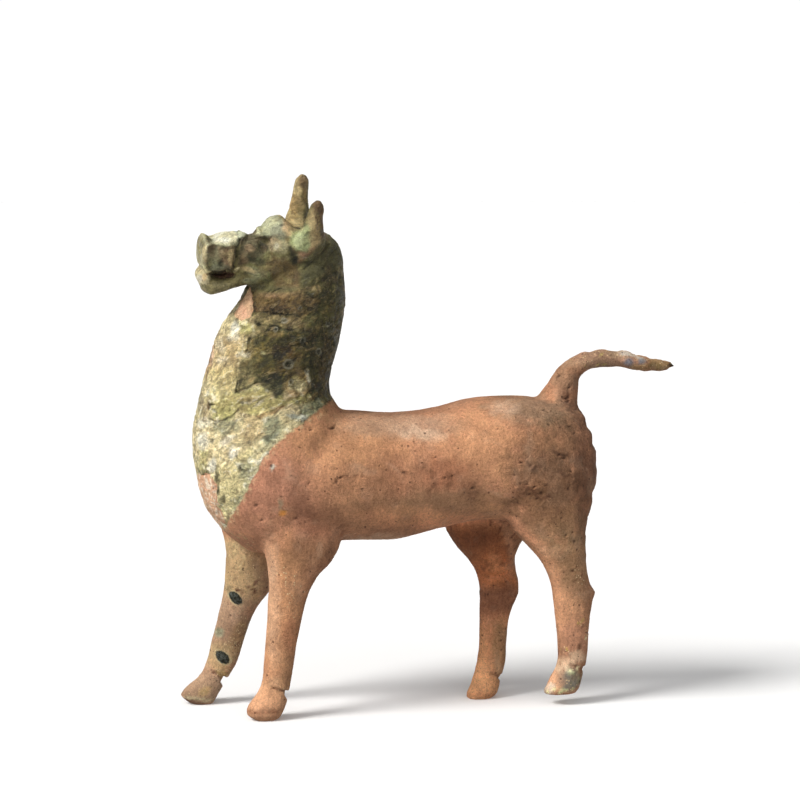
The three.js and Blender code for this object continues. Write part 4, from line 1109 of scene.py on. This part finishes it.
def pottery():
    made, tree, shader = material("glazed_pottery")
    n = Nodes(tree)
    edge = n.attribute("glaze_edge")
    rough_clay = n.attribute("roughened")
    dust = n.noise(1400, 3, 0.7)
    grain = n.noise(560, 5, 0.72, 0.3)
    cloud = n.noise(75, 4, 0.6)
    wiped = n.noise(34, 3, 0.6, 1.2)
    upright = n.noise(420, 4, 0.65, 0.2, (1, 1, 0.16))
    level = n.noise(420, 4, 0.65, 0.2, (0.2, 1, 1))
    lumps = n.noise(190, 4, 0.6, 0.4)

    # Bare clay: clouded and gritty, with scattered small pits, more of them where it is rough.
    bare = n.shaded(n.attribute("clay_paint", "Color"), n.span(cloud, 0.3, 0.72, 1.19, 0.88))
    bare = n.shaded(bare, n.span(grain, 0.3, 0.7, 0.78, 1.22))
    bare = n.shaded(bare, n.span(dust, 0.32, 0.68, 0.86, 1.14))
    bare = n.shaded(bare, n.span(upright, 0.35, 0.66, 0.93, 1.07))
    bare = n.mix(bare, rgba(BUFF), n.span(wiped, 0.55, 0.72, 0, 0.22))
    pit_distance, pit_chance = n.cells(240)
    pit_size = n.plus(n.span(pit_chance, 0.45, 1.0, 0.0, 0.17), n.times(rough_clay, 0.05))
    pit_ragged = n.plus(pit_distance, n.times(grain, 0.2))
    pit = n.span(n.minus(pit_ragged, pit_size), 0.04, 0.12, 1, 0)
    pit = n.times(pit, n.over(pit_chance, 0.55))
    grit_distance, grit_chance = n.cells(620)
    grit = n.times(n.span(grit_distance, 0.2, 0.34, 1, 0), n.over(grit_chance, 0.7))
    # The small pits are painted dark brown: painted shade in their hollows.
    bare = n.mix(bare, rgba(SMALL_PIT_BROWN), n.times(pit, 0.6))
    bare = n.mix(bare, rgba(EARTH), n.times(grit, n.span(rough_clay, 0, 1, 0.34, 0.5)))

    crumb_distance, crumb_chance = n.cells(700)
    stuck = n.over(n.plus(crumb_chance, n.attribute("crumbs")), 1.0)
    crumb = n.times(n.span(crumb_distance, 0.26, 0.4, 1, 0), stuck)
    bare = n.mix(bare, rgba(CRUMB_CREAM), crumb)

    drop_edge = n.plus(n.attribute("drop_edge"), n.times(n.minus(grain, 0.5), 3.0))
    drop_rim = n.times(n.span(drop_edge, -2.0, -0.8), n.span(lumps, 0.42, 0.6, 0.1, 0.65))
    bare = n.mix(bare, rgba(CREAM), drop_rim)
    drop = n.span(drop_edge, -0.5, 0.5)
    bare = n.mix(bare, n.mix(rgba(INK), rgba(SLATE), n.span(grain, 0.42, 0.66)), drop)

    # Glaze: pooled, crazed and worn in patches, with fine dark and pale specks.
    pool = n.noise(200, 5, 0.68, 1.4)
    mottle = n.noise(480, 5, 0.7, 0.9)
    glass = n.shaded(n.attribute("glaze_paint", "Color"), n.span(mottle, 0.3, 0.7, 0.74, 1.38))
    glass = n.shaded(glass, n.span(pool, 0.32, 0.66, 0.74, 1.16))
    flow = n.noise(210, 6, 0.7, 1.3, (0.28, 1, 1), FLOW_SLOPE)
    streaked = n.attribute("streaked")
    pale = n.attribute("pale_glaze")
    glass = n.shaded(glass, n.plus(1.0, n.times(streaked, n.span(flow, 0.34, 0.66, -0.42, 0.46))))
    thread = n.noise(330, 4, 0.6, 1.8, (0.35, 1, 1), FLOW_SLOPE)
    glass = n.mix(glass, rgba(TAN), n.times(streaked, n.span(thread, 0.56, 0.68, 0, 0.28)))
    glass = n.mix(glass, rgba(OLIVE), n.times(streaked, n.span(thread, 0.42, 0.34, 0, 0.4)))
    glass = n.mix(glass, rgba(CHALK), n.times(pale, n.span(flow, 0.56, 0.68, 0, 0.55)))
    glass = n.mix(glass, rgba(INK), n.times(grit, 0.4))

    ragged = n.plus(edge, n.times(n.minus(n.noise(520, 4, 0.65), 0.5), 6.0))
    glazed = n.span(ragged, -1.6, 1.6)
    n.wire(n.mix(bare, glass, glazed), shader.inputs["Base Color"])

    gloss = n.span(n.noise(190, 4, 0.65), 0.38, 0.66, 0.32, 0.72)
    rough = n.plus(0.9, n.times(glazed, n.minus(gloss, 0.9)))
    n.wire(rough, shader.inputs["Roughness"])
    shader.inputs["Specular IOR Level"].default_value = 0.3

    roughness = n.span(rough_clay, 0, 1, 0.9, 2.5)
    clay_relief = n.plus(grain, n.times(dust, 0.3))
    clay_relief = n.plus(clay_relief, n.times(lumps, 0.8))
    clay_relief = n.times(clay_relief, roughness)
    clay_relief = n.plus(clay_relief, n.plus(n.times(upright, 0.5), n.times(level, 0.35)))
    clay_relief = n.minus(clay_relief, n.times(pit, 0.9))
    glaze_relief = n.plus(n.times(pool, 1.2), n.times(mottle, 0.7))
    glaze_relief = n.plus(glaze_relief, n.times(flow, 2.4))
    glaze_relief = n.minus(glaze_relief, 0.65)
    spare = n.minus(glaze_relief, clay_relief)
    relief = n.plus(clay_relief, n.times(glazed, spare))
    bump = n.add("ShaderNodeBump", {"Strength": 1.0, "Distance": BUMP_HEIGHT, "Height": relief})
    n.wire(bump.outputs["Normal"], shader.inputs["Normal"])
    return made


mesh.materials.clear()
mesh.materials.append(pottery())
mesh.shade_smooth()
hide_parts("horse")
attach(horse, "root")


# The studio: a white sheet and a white surround. Only the camera sees their glow.
FLOOR_RADIUS = 11.5
FLOOR_WHITE = 0.95
FLOOR_GLOW = 0.04
SURROUND_RADIUS = 12
SURROUND_GLOW = 1.02
SKY = 0.3
KEY_PLACE = (-0.70, -0.24, 0.70)
KEY_POWER = 3.0
KEY_SPREAD = 24
FILL_PLACE = (-0.5, -1.0, 0.3)
FILL_POWER = 1.35
FILL_SPREAD = 100


def plain(name, white, glow):
    made, tree, shader = material(name)
    inputs = {"Base Color": (white, white, white, 1), "Roughness": 1, "Specular IOR Level": 0,
              "Emission Color": (1, 1, 1, 1), "Emission Strength": glow}
    for key, value in inputs.items():
        shader.inputs[key].default_value = value
    return made


def floor():
    bpy.ops.mesh.primitive_circle_add(vertices=96, radius=FLOOR_RADIUS, fill_type="NGON", location=(0, 0, 0))
    sheet = bpy.context.object
    sheet.name = "studio_floor"
    sheet.data.materials.append(plain("white_paper", FLOOR_WHITE, FLOOR_GLOW))
    sheet.visible_diffuse = False
    bpy.ops.mesh.primitive_uv_sphere_add(radius=SURROUND_RADIUS, segments=48, ring_count=24)
    surround = bpy.context.object
    surround.name = "studio_surround"
    surround.data.materials.append(plain("white_surround", 0, SURROUND_GLOW))
    surround.visible_diffuse = False
    surround.visible_glossy = False
    surround.visible_shadow = False


def sun(name, place, power, spread, tint=(1, 1, 1)):
    data = bpy.data.lights.new(name, "SUN")
    data.energy = power
    data.angle = math.radians(spread)
    data.color = tint
    lamp = bpy.data.objects.new(name, data)
    lamp.rotation_euler = Vector(place).to_track_quat("Z", "Y").to_euler()
    bpy.context.scene.collection.objects.link(lamp)


def camera():
    data = bpy.data.cameras.new("camera")
    data.sensor_width = SENSOR
    data.lens = SENSOR * FOCAL / IMAGE_SIZE
    data.clip_end = 100
    view = bpy.data.objects.new("camera", data)
    view.location = EYE
    down = VIEW_TARGET_PIXEL[1] - VIEW_MIDDLE[1]
    aim = VIEW_TARGET + UP * down * PIXEL_SIZE
    view.rotation_euler = Vector(aim - EYE).to_track_quat("-Z", "Y").to_euler()
    bpy.context.scene.collection.objects.link(view)
    bpy.context.scene.camera = view


def studio():
    scene = bpy.context.scene
    world = bpy.data.worlds.new("studio")
    scene.world = world
    world.use_nodes = True
    world.node_tree.nodes["Background"].inputs["Color"].default_value = (1, 1, 1, 1)
    world.node_tree.nodes["Background"].inputs["Strength"].default_value = SKY
    scene.view_settings.view_transform = "Standard"
    scene.view_settings.look = "None"
    floor()
    sun("key", KEY_PLACE, KEY_POWER, KEY_SPREAD, (1, 0.985, 0.96))
    sun("fill", FILL_PLACE, FILL_POWER, FILL_SPREAD)


studio()
camera()
